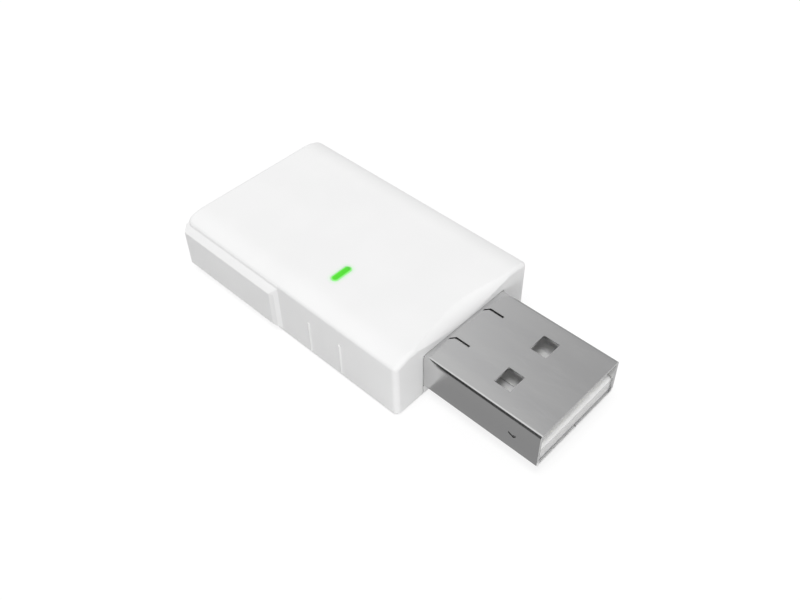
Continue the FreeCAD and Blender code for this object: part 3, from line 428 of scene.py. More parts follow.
# painted light: a faint glow on the top of the tongue near the open end stands in for light coming in there
mouthPaintedGlow = {"along": (27.6, 28.4), "facing": (0.3, 0.7), "tint": (1, 1, 0.99), "strength": 0.2}  # mm along X
insulatorMat, insulatorTree, insulatorShader = makeFinish("whiteInsulator", insulatorLook)
insulatorShader.inputs["Subsurface Weight"].default_value = insulatorBody["weight"]
insulatorShader.inputs["Subsurface Radius"].default_value = insulatorBody["radius"]
insulatorShader.inputs["Subsurface Scale"].default_value = insulatorBody["scale"] * mm
insulatorNormal = normalAxes(insulatorTree)
glowPlace = product(insulatorTree, mapRange(insulatorTree, placeAxes(insulatorTree)[0], *mouthPaintedGlow["along"]),
                    mapRange(insulatorTree, insulatorNormal[2], *mouthPaintedGlow["facing"]))
# painted shade on the faces turned out of the mouth
overlay(insulatorTree, insulatorShader, mapRange(insulatorTree, insulatorNormal[0], *insulatorFrontShade["facing"]),
        insulatorFrontShade["tint"])
insulatorTree.links.new(mixColors(insulatorTree, glowPlace, (0, 0, 0), mouthPaintedGlow["tint"]),
                        insulatorShader.inputs["Emission Color"])
insulatorShader.inputs["Emission Strength"].default_value = mouthPaintedGlow["strength"]
dress("usb_plug_insulator", insulatorMat)

# contact strips: a pale gold flash over nickel, with tinned feet
contactLook = {"dark": (0.66, 0.6, 0.48), "light": (0.74, 0.69, 0.57), "grain": 0.07, "patch": 1.6, "stretch": 12.0,
               "roughness": 0.24, "spread": 0.08, "bump": 0.12, "depth": 0.003, "metallic": 1.0, "edge": 0.02,
               "rubs": {"Mark Length": 2.0, "Mark Width": 0.03, "Amount": 0.5}, "rubTint": (0.78, 0.75, 0.68),
               "rubRoughness": 0.14}
contactFoot = {"along": (13.4, 14.0), "tint": (0.66, 0.66, 0.64), "roughness": 0.42}  # mm along X
# back from their tips the strips are pale, where they show through the plug's windows
contactBack = {"along": (24.6, 25.2), "tint": (0.78, 0.78, 0.775), "roughness": 0.5, "metallic": 0.0}
contactMat, contactTree, contactShader = makeFinish("contactGold", contactLook)
contactAlong = placeAxes(contactTree)[0]
overlay(contactTree, contactShader, fade(contactTree, contactAlong, *contactFoot["along"]), contactFoot["tint"],
        contactFoot["roughness"])
backMask = product(contactTree, mapRange(contactTree, contactAlong, *contactFoot["along"]),
                   fade(contactTree, contactAlong, *contactBack["along"]))
overlay(contactTree, contactShader, backMask, contactBack["tint"], contactBack["roughness"], contactBack["metallic"])
contactNodes = ("vbus_contact", "data_minus_contact", "data_plus_contact", "ground_contact")
for node in contactNodes:
    dress(node, contactMat)
print("housing, light and plug finished")


# boards: solder mask over copper tracks and vias, with woven laminate at the cut edges
mainBoardLook = {"dark": (0.012, 0.11, 0.04), "light": (0.018, 0.15, 0.055), "grain": 0.08, "patch": 4.0,
                 "roughness": 0.3, "spread": 0.05, "bump": 0.15, "depth": 0.005, "edge": 0.03,
                 "track": (0.03, 0.23, 0.08), "trackSize": 2.6, "trackWidth": 0.06, "viaSize": 2.1, "seed": 1.7}
moduleLook = {"dark": (0.008, 0.035, 0.12), "light": (0.012, 0.05, 0.16), "grain": 0.08, "patch": 3.0,
              "roughness": 0.32, "spread": 0.05, "bump": 0.15, "depth": 0.005, "edge": 0.03,
              "track": (0.02, 0.085, 0.24), "trackSize": 1.8, "trackWidth": 0.06, "viaSize": 1.4, "seed": 6.2}
laminate = {"tint": (0.55, 0.5, 0.3), "shade": 0.72, "weaveScale": 1 / 0.756, "weaveBend": 1.5, "facing": (0.5, 0.7),
            "roughness": 0.62}
via = {"range": (0.075, 0.09), "tint": (0.62, 0.58, 0.5), "roughness": 0.35, "metallic": 0.8}
trackSoft = 1.3  # outer limit of a track's edge, as a share of its width


def makeBoard(name, look):
    mat, tree, shader = makeFinish(name, look)
    place = objectPlace(tree)
    shifted = addNode(tree, "ShaderNodeVectorMath", {0: place, 1: (look["seed"], look["seed"], 0)}, operation="ADD")
    flat = addNode(tree, "ShaderNodeVectorMath", {0: shifted.outputs[0], 1: (1, 1, 0)},
                   operation="MULTIPLY").outputs[0]
    # straight and slanting tracks run where two square-metric cells meet
    reaches = [addNode(tree, "ShaderNodeTexVoronoi", {"Vector": flat, "Scale": 1 / look["trackSize"]},
                       feature=feature, distance="CHEBYCHEV").outputs["Distance"] for feature in ("F2", "F1")]
    tracks = fade(tree, maths(tree, "SUBTRACT", *reaches), look["trackWidth"], look["trackWidth"] * trackSoft)
    dots = addNode(tree, "ShaderNodeTexVoronoi", {"Vector": flat, "Scale": 1 / look["viaSize"]})
    overlay(tree, shader, tracks, look["track"])
    overlay(tree, shader, fade(tree, dots.outputs["Distance"], *via["range"]), via["tint"], via["roughness"],
            via["metallic"])
    cutEdge = fade(tree, maths(tree, "ABSOLUTE", normalAxes(tree)[2]), *laminate["facing"])
    weave = addNode(tree, "ShaderNodeTexWave", {"Vector": place, "Scale": laminate["weaveScale"],
                                                "Distortion": laminate["weaveBend"]}, bands_direction="Z")
    woven = mixColors(tree, weave.outputs["Fac"], laminate["tint"],
                      tuple(laminate["shade"] * c for c in laminate["tint"]))
    overlay(tree, shader, cutEdge, woven, laminate["roughness"], 0.0)
    bump = shader.inputs["Normal"].links[0].from_node
    height = maths(tree, "ADD", bump.inputs["Height"].links[0].from_socket, tracks)
    tree.links.new(height, bump.inputs["Height"])
    return mat, tree, shader


dress("circuit_board", makeBoard("boardLaminate", mainBoardLook)[0])

# gilded half holes and their pads along both long sides of the radio module
gilt = {"pitch": 1.4, "count": 7, "rowSoft": 0.02, "padWidth": 0.42, "padDepth": 0.75, "soft": 0.03,
        "tint": (0.8, 0.62, 0.28), "roughness": 0.3}
moduleMat, moduleTree, moduleShader = makeBoard("moduleLaminate", moduleLook)
moduleMiddle, moduleSpan = middleOf("radio_module_board")
modulePlace = placeAxes(moduleTree)
steps = maths(moduleTree, "DIVIDE", maths(moduleTree, "SUBTRACT", moduleMiddle.x + moduleSpan.x / 2, modulePlace[0]),
              gilt["pitch"])
offStep = distance(moduleTree, steps, maths(moduleTree, "ROUND", steps))
onPad = fade(moduleTree, maths(moduleTree, "MULTIPLY", offStep, gilt["pitch"]), gilt["padWidth"],
             gilt["padWidth"] + gilt["soft"])
rowEnd = gilt["count"] + 0.5
inRow = product(moduleTree, mapRange(moduleTree, steps, 0.5, 0.5 + gilt["rowSoft"]),
                fade(moduleTree, steps, rowEnd - gilt["rowSoft"], rowEnd))
padInside = moduleSpan.y / 2 - gilt["padDepth"]
atSide = mapRange(moduleTree, maths(moduleTree, "ABSOLUTE", modulePlace[1]), padInside, padInside + gilt["soft"])
overlay(moduleTree, moduleShader, product(moduleTree, onPad, inRow, atSide), gilt["tint"], gilt["roughness"], 1.0)
dress("radio_module_board", moduleMat)

# tinned can over the radio
shieldLook = {"dark": (0.55, 0.55, 0.53), "light": (0.63, 0.63, 0.61), "grain": 0.12, "patch": 2.0, "stretch": 7.0,
              "roughness": 0.33, "spread": 0.1, "bump": 0.2, "depth": 0.004, "metallic": 1.0, "edge": 0.05,
              "edgeTint": (0.7, 0.7, 0.69), "rubs": {"Mark Length": 2.5, "Mark Width": 0.05, "Amount": 0.6},
              "rubTint": (0.7, 0.7, 0.68), "rubRoughness": 0.15}
dress("radio_shield", makeFinish("shieldTin", shieldLook)[0])

# moulded chips: sooty resin, tinned legs where they have them
resinLook = {"dark": (0.018, 0.018, 0.019), "light": (0.03, 0.03, 0.031), "grain": 0.05, "patch": 0.8,
             "roughness": 0.58, "spread": 0.12, "bump": 0.35, "depth": 0.006, "edge": 0.03,
             "edgeTint": (0.05, 0.05, 0.05)}
tinned = {"tint": (0.6, 0.6, 0.58), "roughness": 0.36}
legStart = (0.005, 0.015)  # mm past the resin
leadedChips = {"voltage_regulator": 1.6, "surge_protector": 1.25}  # width of the resin in mm
resinMat = makeFinish("chipResin", resinLook)[0]
dress("radio_chip", resinMat)
dress("flash_chip", resinMat)
for node, resinWidth in leadedChips.items():
    legMat, legTree, legShader = makeFinish(node + "Resin", resinLook)
    outward = distance(legTree, placeAxes(legTree)[0], middleOf(node)[0].x)
    legMask = mapRange(legTree, outward, *(resinWidth / 2 + start for start in legStart))
    overlay(legTree, legShader, legMask, tinned["tint"], tinned["roughness"], 1.0)
    dress(node, legMat)

# crystal: a seam-welded lid on a ceramic tray
lidLook = {"dark": (0.6, 0.58, 0.52), "light": (0.7, 0.68, 0.61), "grain": 0.06, "patch": 0.7, "roughness": 0.3,
           "spread": 0.08, "bump": 0.2, "depth": 0.003, "metallic": 1.0, "edge": 0.03}
tray = {"top": (0.08, 0.1), "tint": (0.12, 0.1, 0.09), "roughness": 0.6}  # mm above the middle
crystalMat, crystalTree, crystalShader = makeFinish("crystalCan", lidLook)
trayTop = (middleOf("radio_crystal")[0].z + height for height in tray["top"])
overlay(crystalTree, crystalShader, fade(crystalTree, placeAxes(crystalTree)[2], *trayTop), tray["tint"],
        tray["roughness"], 0.0)
dress("radio_crystal", crystalMat)

# coil: pressed powder block, copper showing in its well, tinned ends
ferriteLook = {"dark": (0.07, 0.07, 0.075), "light": (0.12, 0.12, 0.125), "grain": 0.06, "patch": 0.9,
               "roughness": 0.66, "spread": 0.1, "bump": 0.5, "depth": 0.01, "edge": 0.04,
               "edgeTint": (0.17, 0.17, 0.17)}
winding = {"inner": 0.35, "outer": 1.0, "turn": 0.14, "deep": 0.2, "shallow": 0.1, "soft": 0.02,
           "tint": (0.6, 0.26, 0.1), "shade": 0.3, "roughness": 0.35, "metallic": 0.9}  # mm, depths below the top
coilEnds = {"thick": 0.02, "half": 0.9}  # mm
ferriteMat, ferriteTree, ferriteShader = makeFinish("ferrite", ferriteLook)
coilMiddle, coilSpan = middleOf("power_inductor")
coilPlace = placeAxes(ferriteTree)
coilX = maths(ferriteTree, "SUBTRACT", coilPlace[0], coilMiddle.x)
coilY = maths(ferriteTree, "SUBTRACT", coilPlace[1], coilMiddle.y)
reach = length(ferriteTree, coilX, coilY)
turnShade = maths(ferriteTree, "ABSOLUTE", maths(ferriteTree, "SINE", maths(
    ferriteTree, "MULTIPLY", reach, math.pi / winding["turn"])))
coilTop = coilMiddle.z + coilSpan.z / 2
wire = product(
    ferriteTree, mapRange(ferriteTree, reach, winding["inner"], winding["inner"] + winding["soft"]),
    fade(ferriteTree, reach, winding["outer"], winding["outer"] + winding["soft"]),
    mapRange(ferriteTree, coilPlace[2], coilTop - winding["deep"], coilTop - winding["deep"] + winding["soft"]),
    fade(ferriteTree, coilPlace[2], coilTop - winding["shallow"], coilTop - winding["shallow"] + winding["soft"]))
copperTint = mixColors(ferriteTree, turnShade, tuple(winding["shade"] * c for c in winding["tint"]), winding["tint"])
overlay(ferriteTree, ferriteShader, wire, copperTint, winding["roughness"], winding["metallic"])
coilEnd = product(
    ferriteTree, mapRange(ferriteTree, maths(ferriteTree, "ABSOLUTE", coilX), coilSpan.x / 2 - coilEnds["thick"],
                          coilSpan.x / 2),
    fade(ferriteTree, maths(ferriteTree, "ABSOLUTE", coilY), coilEnds["half"], coilEnds["half"] + coilEnds["thick"]))
overlay(ferriteTree, ferriteShader, coilEnd, tinned["tint"], tinned["roughness"], 1.0)
dress("power_inductor", ferriteMat)

# light source under the guide: clear resin over a pale foot
ledLook = {"dark": (0.55, 0.68, 0.5), "light": (0.66, 0.78, 0.6), "grain": 0.1, "patch": 0.5, "roughness": 0.2,
           "spread": 0.05, "bump": 0.05, "depth": 0.003, "edge": 0.03}
ledFoot = {"top": 0.2, "soft": 0.01, "tint": (0.72, 0.7, 0.62), "roughness": 0.5}  # mm
ledEnds = {"length": 0.22, "soft": 0.02, "tint": (0.78, 0.62, 0.3), "roughness": 0.3}
ledGlow = {"tint": (0.1, 0.8, 0.03, 1), "strength": 0.6}
ledMat, ledTree, ledShader = makeFinish("ledResin", ledLook)
ledMiddle, ledSpan = middleOf("status_led")
ledPlace = placeAxes(ledTree)
footTop = ledMiddle.z - ledSpan.z / 2 + ledFoot["top"]
footMask = fade(ledTree, ledPlace[2], footTop, footTop + ledFoot["soft"])
overlay(ledTree, ledShader, footMask, ledFoot["tint"], ledFoot["roughness"])
endStart = ledSpan.y / 2 - ledEnds["length"]
endMask = mapRange(ledTree, distance(ledTree, ledPlace[1], ledMiddle.y), endStart, endStart + ledEnds["soft"])
overlay(ledTree, ledShader, product(ledTree, footMask, endMask), ledEnds["tint"], ledEnds["roughness"], 1.0)
ledShader.inputs["Emission Color"].default_value = ledGlow["tint"]
ledShader.inputs["Emission Strength"].default_value = ledGlow["strength"]
dress("status_led", ledMat)
print("boards and chips finished")


# small parts with metal ends, built over their solids with rounded caps and solder at both ends
capLook = {"dark": (0.58, 0.58, 0.57), "light": (0.66, 0.66, 0.65), "grain": 0.06, "patch": 0.5, "roughness": 0.34,
           "spread": 0.1, "bump": 0.3, "depth": 0.004, "metallic": 1.0}
solderLook = {"dark": (0.6, 0.6, 0.59), "light": (0.72, 0.72, 0.71), "grain": 0.2, "patch": 0.6, "roughness": 0.22,
              "spread": 0.1, "bump": 0.25, "depth": 0.01, "metallic": 1.0}
bodyLooks = {
    "capacitor": {"dark": (0.36, 0.23, 0.13), "light": (0.46, 0.31, 0.19), "grain": 0.05, "patch": 0.4,
                  "roughness": 0.5, "spread": 0.08, "bump": 0.3, "depth": 0.004},
    "resistor": {"dark": (0.012, 0.012, 0.014), "light": (0.03, 0.03, 0.034), "grain": 0.06, "patch": 0.4,
                 "roughness": 0.28, "spread": 0.08, "bump": 0.2, "depth": 0.004},
    "fuse": {"dark": (0.09, 0.32, 0.1), "light": (0.13, 0.4, 0.14), "grain": 0.07, "patch": 0.6,
             "roughness": 0.45, "spread": 0.08, "bump": 0.25, "depth": 0.005},
    "antenna": {"dark": (0.66, 0.71, 0.74), "light": (0.76, 0.81, 0.84), "grain": 0.06, "patch": 0.7,
                "roughness": 0.4, "spread": 0.06, "bump": 0.2, "depth": 0.004},
}
underGlaze = {"facing": (0.4, 0.6), "tint": (0.72, 0.72, 0.7), "roughness": 0.6}  # white ceramic of the resistors
antennaLine = {"turn": 0.45, "steep": 2.2, "half": 0.5, "width": (0.08, 0.12), "tint": (0.62, 0.62, 0.6),
               "roughness": 0.35, "metallic": 0.9}  # mm, printed silver that winds along the ceramic
capMat = makeFinish("capTin", capLook)[0]
solderMat = makeFinish("solder", solderLook)[0]
bodyMats = {}
for kind, look in bodyLooks.items():
    bodyMats[kind], bodyTree, bodyShader = makeFinish(kind + "Body", look)
    if kind == "resistor":
        below = fade(bodyTree, normalAxes(bodyTree)[2], *underGlaze["facing"])
        overlay(bodyTree, bodyShader, below, underGlaze["tint"], underGlaze["roughness"])
    if kind == "antenna":
        place = placeAxes(bodyTree)
        phase = maths(bodyTree, "MULTIPLY", place[1], math.pi / antennaLine["turn"])
        wander = maths(bodyTree, "MULTIPLY", maths(bodyTree, "SINE", phase), antennaLine["steep"])
        wander = maths(bodyTree, "MAXIMUM", maths(bodyTree, "MINIMUM", wander, antennaLine["half"]),
                       -antennaLine["half"])
        across = maths(bodyTree, "SUBTRACT", place[0], middleOf("chip_antenna")[0].x)
        line = fade(bodyTree, distance(bodyTree, across, wander), *antennaLine["width"])
        overlay(bodyTree, bodyShader, line, antennaLine["tint"], antennaLine["roughness"], antennaLine["metallic"])


weldDistance = 1e-6


def looseParts(node):
    # the box of every separate solid in a node, in metres
    bm = bmesh.new()
    bm.from_mesh(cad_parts[node].data)
    bmesh.ops.remove_doubles(bm, verts=bm.verts, dist=weldDistance)
    left, found = set(bm.verts), []
    while left:
        stack, island = [left.pop()], []
        while stack:
            vert = stack.pop()
            island.append(vert.co.copy())
            for edge in vert.link_edges:
                other = edge.other_vert(vert)
                if other in left:
                    left.remove(other)
                    stack.append(other)
        found.append([Vector([pick(co[i] for co in island) for i in range(3)]) for pick in (min, max)])
    bm.free()
    return sorted(found, key=lambda pair: (round(pair[0].x, 5), round(pair[0].y, 5)))


def addBlock(bm, low, high, radius, materialIndex):
    corners = [Vector((x, y, z)) for x in (low.x, high.x) for y in (low.y, high.y) for z in (low.z, high.z)]
    verts = [bm.verts.new(co) for co in corners]
    sides = [(0, 1, 3, 2), (4, 6, 7, 5), (0, 4, 5, 1), (2, 3, 7, 6), (0, 2, 6, 4), (1, 5, 7, 3)]
    faces = [bm.faces.new([verts[i] for i in side]) for side in sides]
    rim = list({edge for face in faces for edge in face.edges})
    made = bmesh.ops.bevel(bm, geom=rim, offset=radius, segments=3, profile=0.5, affect="EDGES")
    for face in set(faces) | set(made["faces"]):
        if face.is_valid:
            face.material_index = materialIndex
            face.smooth = True


def addFillet(bm, foot, outward, width, height, reach, materialIndex, rows=7, columns=9, pinch=0.8):
    # a closed concave drop of solder from a wall down to the board, whose sides draw in by the pinch;
    # foot is the middle of the wall's lower edge
    across = Vector((-outward.y, outward.x, 0))
    upper, lower = [], []
    for i in range(rows + 1):
        t = i / rows
        top, bottom = [], []
        for j in range(columns + 1):
            w = 2 * j / columns - 1
            shrink = math.sqrt(1 - pinch * w ** 4)
            place = foot + outward * (reach * t * shrink) + across * (w * width / 2)
            up = height * (1 - t) ** 2 * shrink
            top.append(bm.verts.new(place + Vector((0, 0, up))))
            bottom.append(bm.verts.new(place) if i < rows else top[-1])
        upper.append(top)
        lower.append(bottom)
    quads = [(grid[i][j], grid[i + 1][j], grid[i + 1][j + 1], grid[i][j + 1])
             for grid in (upper, lower) for i in range(rows) for j in range(columns)]
    quads += [(upper[i][j], upper[i + 1][j], lower[i + 1][j], lower[i][j])
              for i in range(rows) for j in (0, columns)]
    quads += [(upper[0][j], upper[0][j + 1], lower[0][j + 1], lower[0][j]) for j in range(columns)]
    for quad in quads:
        face = bm.faces.new(list(dict.fromkeys(quad)))  # some quads have a corner twice
        face.material_index = materialIndex
        face.smooth = True


def makePiece(name, bm, mats, nodes=()):
    bmesh.ops.recalc_face_normals(bm, faces=bm.faces)
    mesh = bpy.data.meshes.new(name)
    bm.to_mesh(mesh)
    bm.free()
    for mat in mats:
        mesh.materials.append(mat)
    piece = bpy.data.objects.new(name, mesh)
    bpy.context.scene.collection.objects.link(piece)
    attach(piece, "root")
    if nodes:
        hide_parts(*nodes)


# lengths in mm, the shares are of the chip's own size
chipShape = {"capShare": 0.2, "bodyInset": 0.02, "round": 0.035, "capRound": 1.3, "solderWidth": 0.92,
             "solderReach": 0.22, "solderRise": 0.7}
cappedNodes = {
    "ceramic_capacitors": ("capacitor", 1, "capacitor_ceramic"),  # body, axis between its ends, slot
    "antenna_matching_parts": ("capacitor", 1, "capacitor_ceramic"),
    "bulk_capacitor": ("capacitor", 1, "capacitor_ceramic"),
    "chip_resistors": ("resistor", 1, "resistor_black"),
    "resettable_fuse": ("fuse", 0, "fuse_green"),
    "chip_antenna": ("antenna", 1, "antenna_ceramic"),
}


def buildCapped(node, kind, axis, shape):
    bm = bmesh.new()
    for low, high in looseParts(node):
        span = high - low
        cap = span[axis] * shape["capShare"]
        inset = shape["bodyInset"] * mm
        bodyLow, bodyHigh = low + Vector((inset,) * 3), high - Vector((inset,) * 3)
        bodyLow[axis] = low[axis] + cap / 2
        bodyHigh[axis] = high[axis] - cap / 2
        addBlock(bm, bodyLow, bodyHigh, shape["round"] * mm, 0)
        for end in (0, 1):
            capLow, capHigh = low.copy(), high.copy()
            if end:
                capLow[axis] = high[axis] - cap
            else:
                capHigh[axis] = low[axis] + cap
            addBlock(bm, capLow, capHigh, shape["capRound"] * shape["round"] * mm, 1)
            outward = Vector((0, 0, 0))
            outward[axis] = 1 if end else -1
            foot = (low + high) / 2
            foot[axis] = (high if end else low)[axis]
            foot.z = low.z
            foot -= outward * shape["round"] * mm
            addFillet(bm, foot, outward, span[1 - axis] * shape["solderWidth"], span.z * shape["solderRise"],
                      (shape["solderReach"] + shape["round"]) * mm, 2)
    makePiece(node + "_built", bm, [bodyMats[kind], capMat, solderMat], [node])


for node, (kind, axis, slotName) in cappedNodes.items():
    buildCapped(node, kind, axis, chipShape)
print("small parts built")


# solder on the board: at the contact feet, chip legs, coil ends and light, and round the plug's two legs
solderDrops = {
    "foot": {"width": 1.1, "rise": 0.2, "reach": 0.3},
    "leg": {"width": 0.44, "rise": 0.12, "reach": 0.16},
    "coil": {"width": 1.8, "rise": 0.45, "reach": 0.28},
    "light": {"width": 0.7, "rise": 0.15, "reach": 0.25},
}  # mm
legPitches = {"voltage_regulator": 0.95, "surge_protector": 0.65}  # three legs in a row
plugLegs = {"back": 16.95, "halfX": 0.5, "halfY": 0.15}  # mm, behind the plug's tip
legCone = {"reach": 0.38, "rise": 0.34, "steps": 6, "sides": 28}


def addDrop(bm, place, outward, drop):
    addFillet(bm, Vector(place), Vector(outward), drop["width"] * mm, drop["rise"] * mm, drop["reach"] * mm, 0)


def addCone(bm, middle, up, leg, cone):
    rings = []
    for i in range(cone["steps"] + 1):
        t = i / cone["steps"]
        ring = []
        for k in range(cone["sides"]):
            angle = 2 * math.pi * k / cone["sides"]
            spreadX = (leg["halfX"] + cone["reach"] * t) * mm
            spreadY = (leg["halfY"] + cone["reach"] * t) * mm
            rise = up * cone["rise"] * mm * (1 - t) ** 2
            ring.append(bm.verts.new(middle + Vector((spreadX * math.cos(angle), spreadY * math.sin(angle), rise))))
        rings.append(ring)
    for inner, outer in zip(rings, rings[1:]):
        for k in range(cone["sides"]):
            after = (k + 1) % cone["sides"]
            bm.faces.new((inner[k], inner[after], outer[after], outer[k])).smooth = True
    bm.faces.new(rings[0])
    bm.faces.new(rings[-1])


def buildSolder(drops):
    bm = bmesh.new()
    boardLow, boardTop = (corner[2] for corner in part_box("circuit_board"))
    for node in contactNodes:
        low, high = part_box(node)
        addDrop(bm, (low[0], (low[1] + high[1]) / 2, boardTop), (-1, 0, 0), drops["foot"])
    for node, pitch in legPitches.items():
        low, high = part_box(node)
        for side, x in ((-1, low[0]), (1, high[0])):
            for step in (-1, 0, 1):
                addDrop(bm, (x, (low[1] + high[1]) / 2 + step * pitch * mm, boardTop), (side, 0, 0), drops["leg"])
    low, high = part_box("power_inductor")
    for side, x in ((-1, low[0]), (1, high[0])):
        addDrop(bm, (x, (low[1] + high[1]) / 2, boardTop), (side, 0, 0), drops["coil"])
    low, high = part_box("status_led")
    for side, y in ((-1, low[1]), (1, high[1])):
        addDrop(bm, ((low[0] + high[0]) / 2, y, boardTop), (0, side, 0), drops["light"])
    legX = cadHigh[0] - plugLegs["back"] * mm
    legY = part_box("usb_plug_shell")[1][1] - plugLegs["halfY"] * mm
    for side in (-1, 1):
        for z, up in ((boardTop, 1), (boardLow, -1)):
            addCone(bm, Vector((legX, side * legY, z)), up, plugLegs, legCone)
    makePiece("board_solder", bm, [solderMat])


buildSolder(solderDrops)
print("solder built")


# thin bead of the housing's plastic pressed against the plug where it comes out
bead = {"halfWidth": 6.0, "low": 1.45, "high": 5.95, "corner": 0.36, "thick": 0.027, "back": 15.5, "front": 15.645,
        "bevel": 0.01, "root": 0.12, "shoulder": 0.75, "crest": 0.35}  # mm, and three shares of the thickness


def outline(halfWidth, low, high, corner, steps=8):
    points = []
    for centreY, centreZ, start in ((halfWidth - corner, high - corner, 0), (corner - halfWidth, high - corner, 90),
                                    (corner - halfWidth, low + corner, 180), (halfWidth - corner, low + corner, 270)):
        for k in range(steps + 1):
            angle = math.radians(start + 90 * k / steps)
            points.append((centreY + corner * math.cos(angle), centreZ + corner * math.sin(angle)))
    return points


def buildBead(spec):
    bm = bmesh.new()
    rings = []
    back, front, bevelled = spec["back"], spec["front"], spec["front"] - spec["bevel"]
    for x, part in ((back, spec["root"]), (back, 1.0), (bevelled, 1.0), (front, spec["shoulder"]),
                    (front, spec["crest"]), (bevelled, spec["root"])):
        out = spec["thick"] * part
        loop = outline(spec["halfWidth"] + out, spec["low"] - out, spec["high"] + out, spec["corner"] + out)
        rings.append([bm.verts.new(Vector((x, y, z)) * mm) for y, z in loop])
    for near, far in zip(rings, rings[1:] + rings[:1]):
        for k in range(len(near)):
            after = (k + 1) % len(near)
            bm.faces.new((near[k], near[after], far[after], far[k])).smooth = True
    makePiece("plug_bead", bm, [coverMat])


buildBead(bead)
print("bead built")


# floor, world and lamps
studio = {
    "floorSize": 1.2,  # metres
    "floorDrop": 0.02,  # mm under the object
    "floorWhite": 1.02,  # what the camera gets from it, just over white
    "floorColor": 0.5,  # what the floor gives back to the object
    "paperColor": 0.95,  # the same on white paper that lies in front of the plug's end of the housing
    "paperFrom": 13.0, "paperTo": 18.0, "paperSide": -40.0, "paperSideTo": -25.0,  # mm along X and Y
    "floorSeen": 0.2,  # its colour to the camera, the rest of its white is glow
    "floorGloss": 0.34,  # what plated metal shows of it
    "paperGloss": 0.6, "glossFrom": 29.6, "glossTo": 30.4,  # and of the paper past the plug's tip
    "worldLevel": 0.57,
    "keyLevel": 0.475,
    "keyDirection": (0.06, -0.22, 0.97),
    "fillLevel": 0.31,
    "fillDirection": (1.0, -0.85, 0.1),
    "boxDistance": 1.5,  # metres
    "boxSize": 0.6,
}
sky = {  # what plated metal shows of the room: grey behind, pale overhead, dark in front and low
    "back": 0.74, "backFar": 0.42, "backFrom": -0.1, "backTo": 0.17, "backAxis": (0.8, 0.6, 0.0),
    "overhead": 1.0, "overheadFrom": 0.83, "overheadTo": 0.89,
    "front": 0.03, "frontFrom": 0.62, "frontTo": 0.76, "frontAxis": (-0.42, -0.8, 0.4),
    "frontEdge": -0.08, "frontFull": -0.24,  # the dark card ends here along X
}


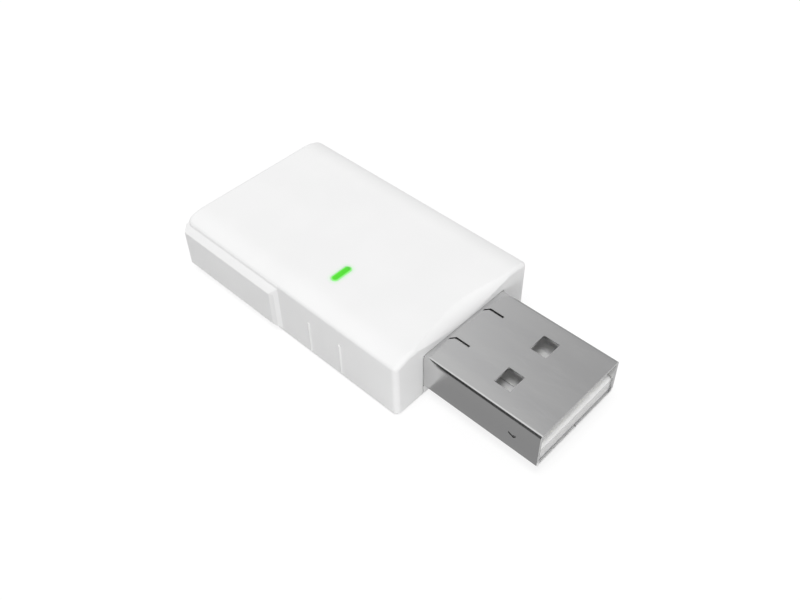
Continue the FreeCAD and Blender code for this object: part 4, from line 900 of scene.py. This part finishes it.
def makeFloor(spec):
    half = spec["floorSize"] / 2
    mesh = bpy.data.meshes.new("studioFloor")
    mesh.from_pydata([(-half, -half, 0), (half, -half, 0), (half, half, 0), (-half, half, 0)], [], [(0, 1, 2, 3)])
    floor = bpy.data.objects.new("studioFloor", mesh)
    floor.location.z = -spec["floorDrop"] * mm
    bpy.context.scene.collection.objects.link(floor)
    mat, tree, shader = newMaterial("studioFloor")
    tree.nodes.remove(shader)
    path = addNode(tree, "ShaderNodeLightPath").outputs
    along, across = placeAxes(tree)[:2]
    paper = maths(tree, "MULTIPLY", mapRange(tree, along, spec["paperFrom"], spec["paperTo"]),
                  mapRange(tree, across, spec["paperSide"], spec["paperSideTo"]))
    given = mixColors(tree, paper, (spec["floorColor"],) * 3, (spec["paperColor"],) * 3)
    color = mixColors(tree, path["Is Camera Ray"], given, (spec["floorSeen"],) * 3)
    color = mixColors(tree, path["Is Glossy Ray"], color, (0.0, 0.0, 0.0))
    diffuse = addNode(tree, "ShaderNodeBsdfDiffuse", {"Color": color})
    seen = maths(tree, "MAXIMUM", path["Is Camera Ray"], path["Is Transmission Ray"])
    gloss = mapRange(tree, along, spec["glossFrom"], spec["glossTo"], spec["floorGloss"], spec["paperGloss"])
    level = maths(tree, "ADD", maths(tree, "MULTIPLY", seen, spec["floorWhite"] - spec["floorSeen"]),
                  maths(tree, "MULTIPLY", path["Is Glossy Ray"], gloss))
    glow = addNode(tree, "ShaderNodeEmission", {"Strength": level})
    total = addNode(tree, "ShaderNodeAddShader", {0: diffuse.outputs[0], 1: glow.outputs[0]})
    clear = addNode(tree, "ShaderNodeBsdfTransparent")  # from below the floor isn't there
    behind = addNode(tree, "ShaderNodeNewGeometry").outputs["Backfacing"]
    oneSided = addNode(tree, "ShaderNodeMixShader", {0: behind, 1: total.outputs[0], 2: clear.outputs[0]})
    tree.links.new(oneSided.outputs[0], tree.nodes["Material Output"].inputs["Surface"])
    mesh.materials.append(mat)


def makeWorld(spec, look):
    world = bpy.data.worlds.new("studioWorld")
    bpy.context.scene.world = world
    world.use_nodes = True
    tree = world.node_tree
    background = tree.nodes["Background"]
    background.inputs["Color"].default_value = (1, 1, 1, 1)
    direction = addNode(tree, "ShaderNodeTexCoord").outputs["Generated"]

    def along(axis):
        return addNode(tree, "ShaderNodeVectorMath", {0: direction, 1: Vector(axis).normalized()[:]},
                       operation="DOT_PRODUCT").outputs["Value"]

    back = mapRange(tree, along(look["backAxis"]), look["backFrom"], look["backTo"], look["back"], look["backFar"])
    overhead = mapRange(tree, along((0, 0, 1)), look["overheadFrom"], look["overheadTo"])
    front = maths(tree, "MULTIPLY", mapRange(tree, along(look["frontAxis"]), look["frontFrom"], look["frontTo"]),
                  fade(tree, axes(tree, direction)[0], look["frontFull"], look["frontEdge"]))
    room = blend(tree, overhead, back, look["overhead"])
    room = blend(tree, front, room, look["front"])
    path = addNode(tree, "ShaderNodeLightPath").outputs
    seen = maths(tree, "MAXIMUM", path["Is Camera Ray"], path["Is Transmission Ray"])
    level = blend(tree, seen, spec["worldLevel"], 1.0)
    level = blend(tree, path["Is Glossy Ray"], level, room)
    tree.links.new(level, background.inputs["Strength"])


def makeSoftbox(name, spec, level, direction):
    lamp = bpy.data.lights.new(name, "AREA")
    lamp.size = spec["boxSize"]
    lamp.energy = level * (math.pi * spec["boxDistance"]) ** 2  # gives that level on a facing surface
    box = bpy.data.objects.new(name, lamp)
    direction = Vector(direction).normalized()
    box.location = direction * spec["boxDistance"]
    box.rotation_euler = direction.to_track_quat("Z", "Y").to_euler()
    box.visible_glossy = False  # metal sees the room instead
    bpy.context.scene.collection.objects.link(box)


makeFloor(studio)
makeWorld(studio, sky)
makeSoftbox("keySoftbox", studio, studio["keyLevel"], studio["keyDirection"])
makeSoftbox("fillSoftbox", studio, studio["fillLevel"], studio["fillDirection"])
bpy.context.scene.view_settings.view_transform = "Standard"
print("studio lit")
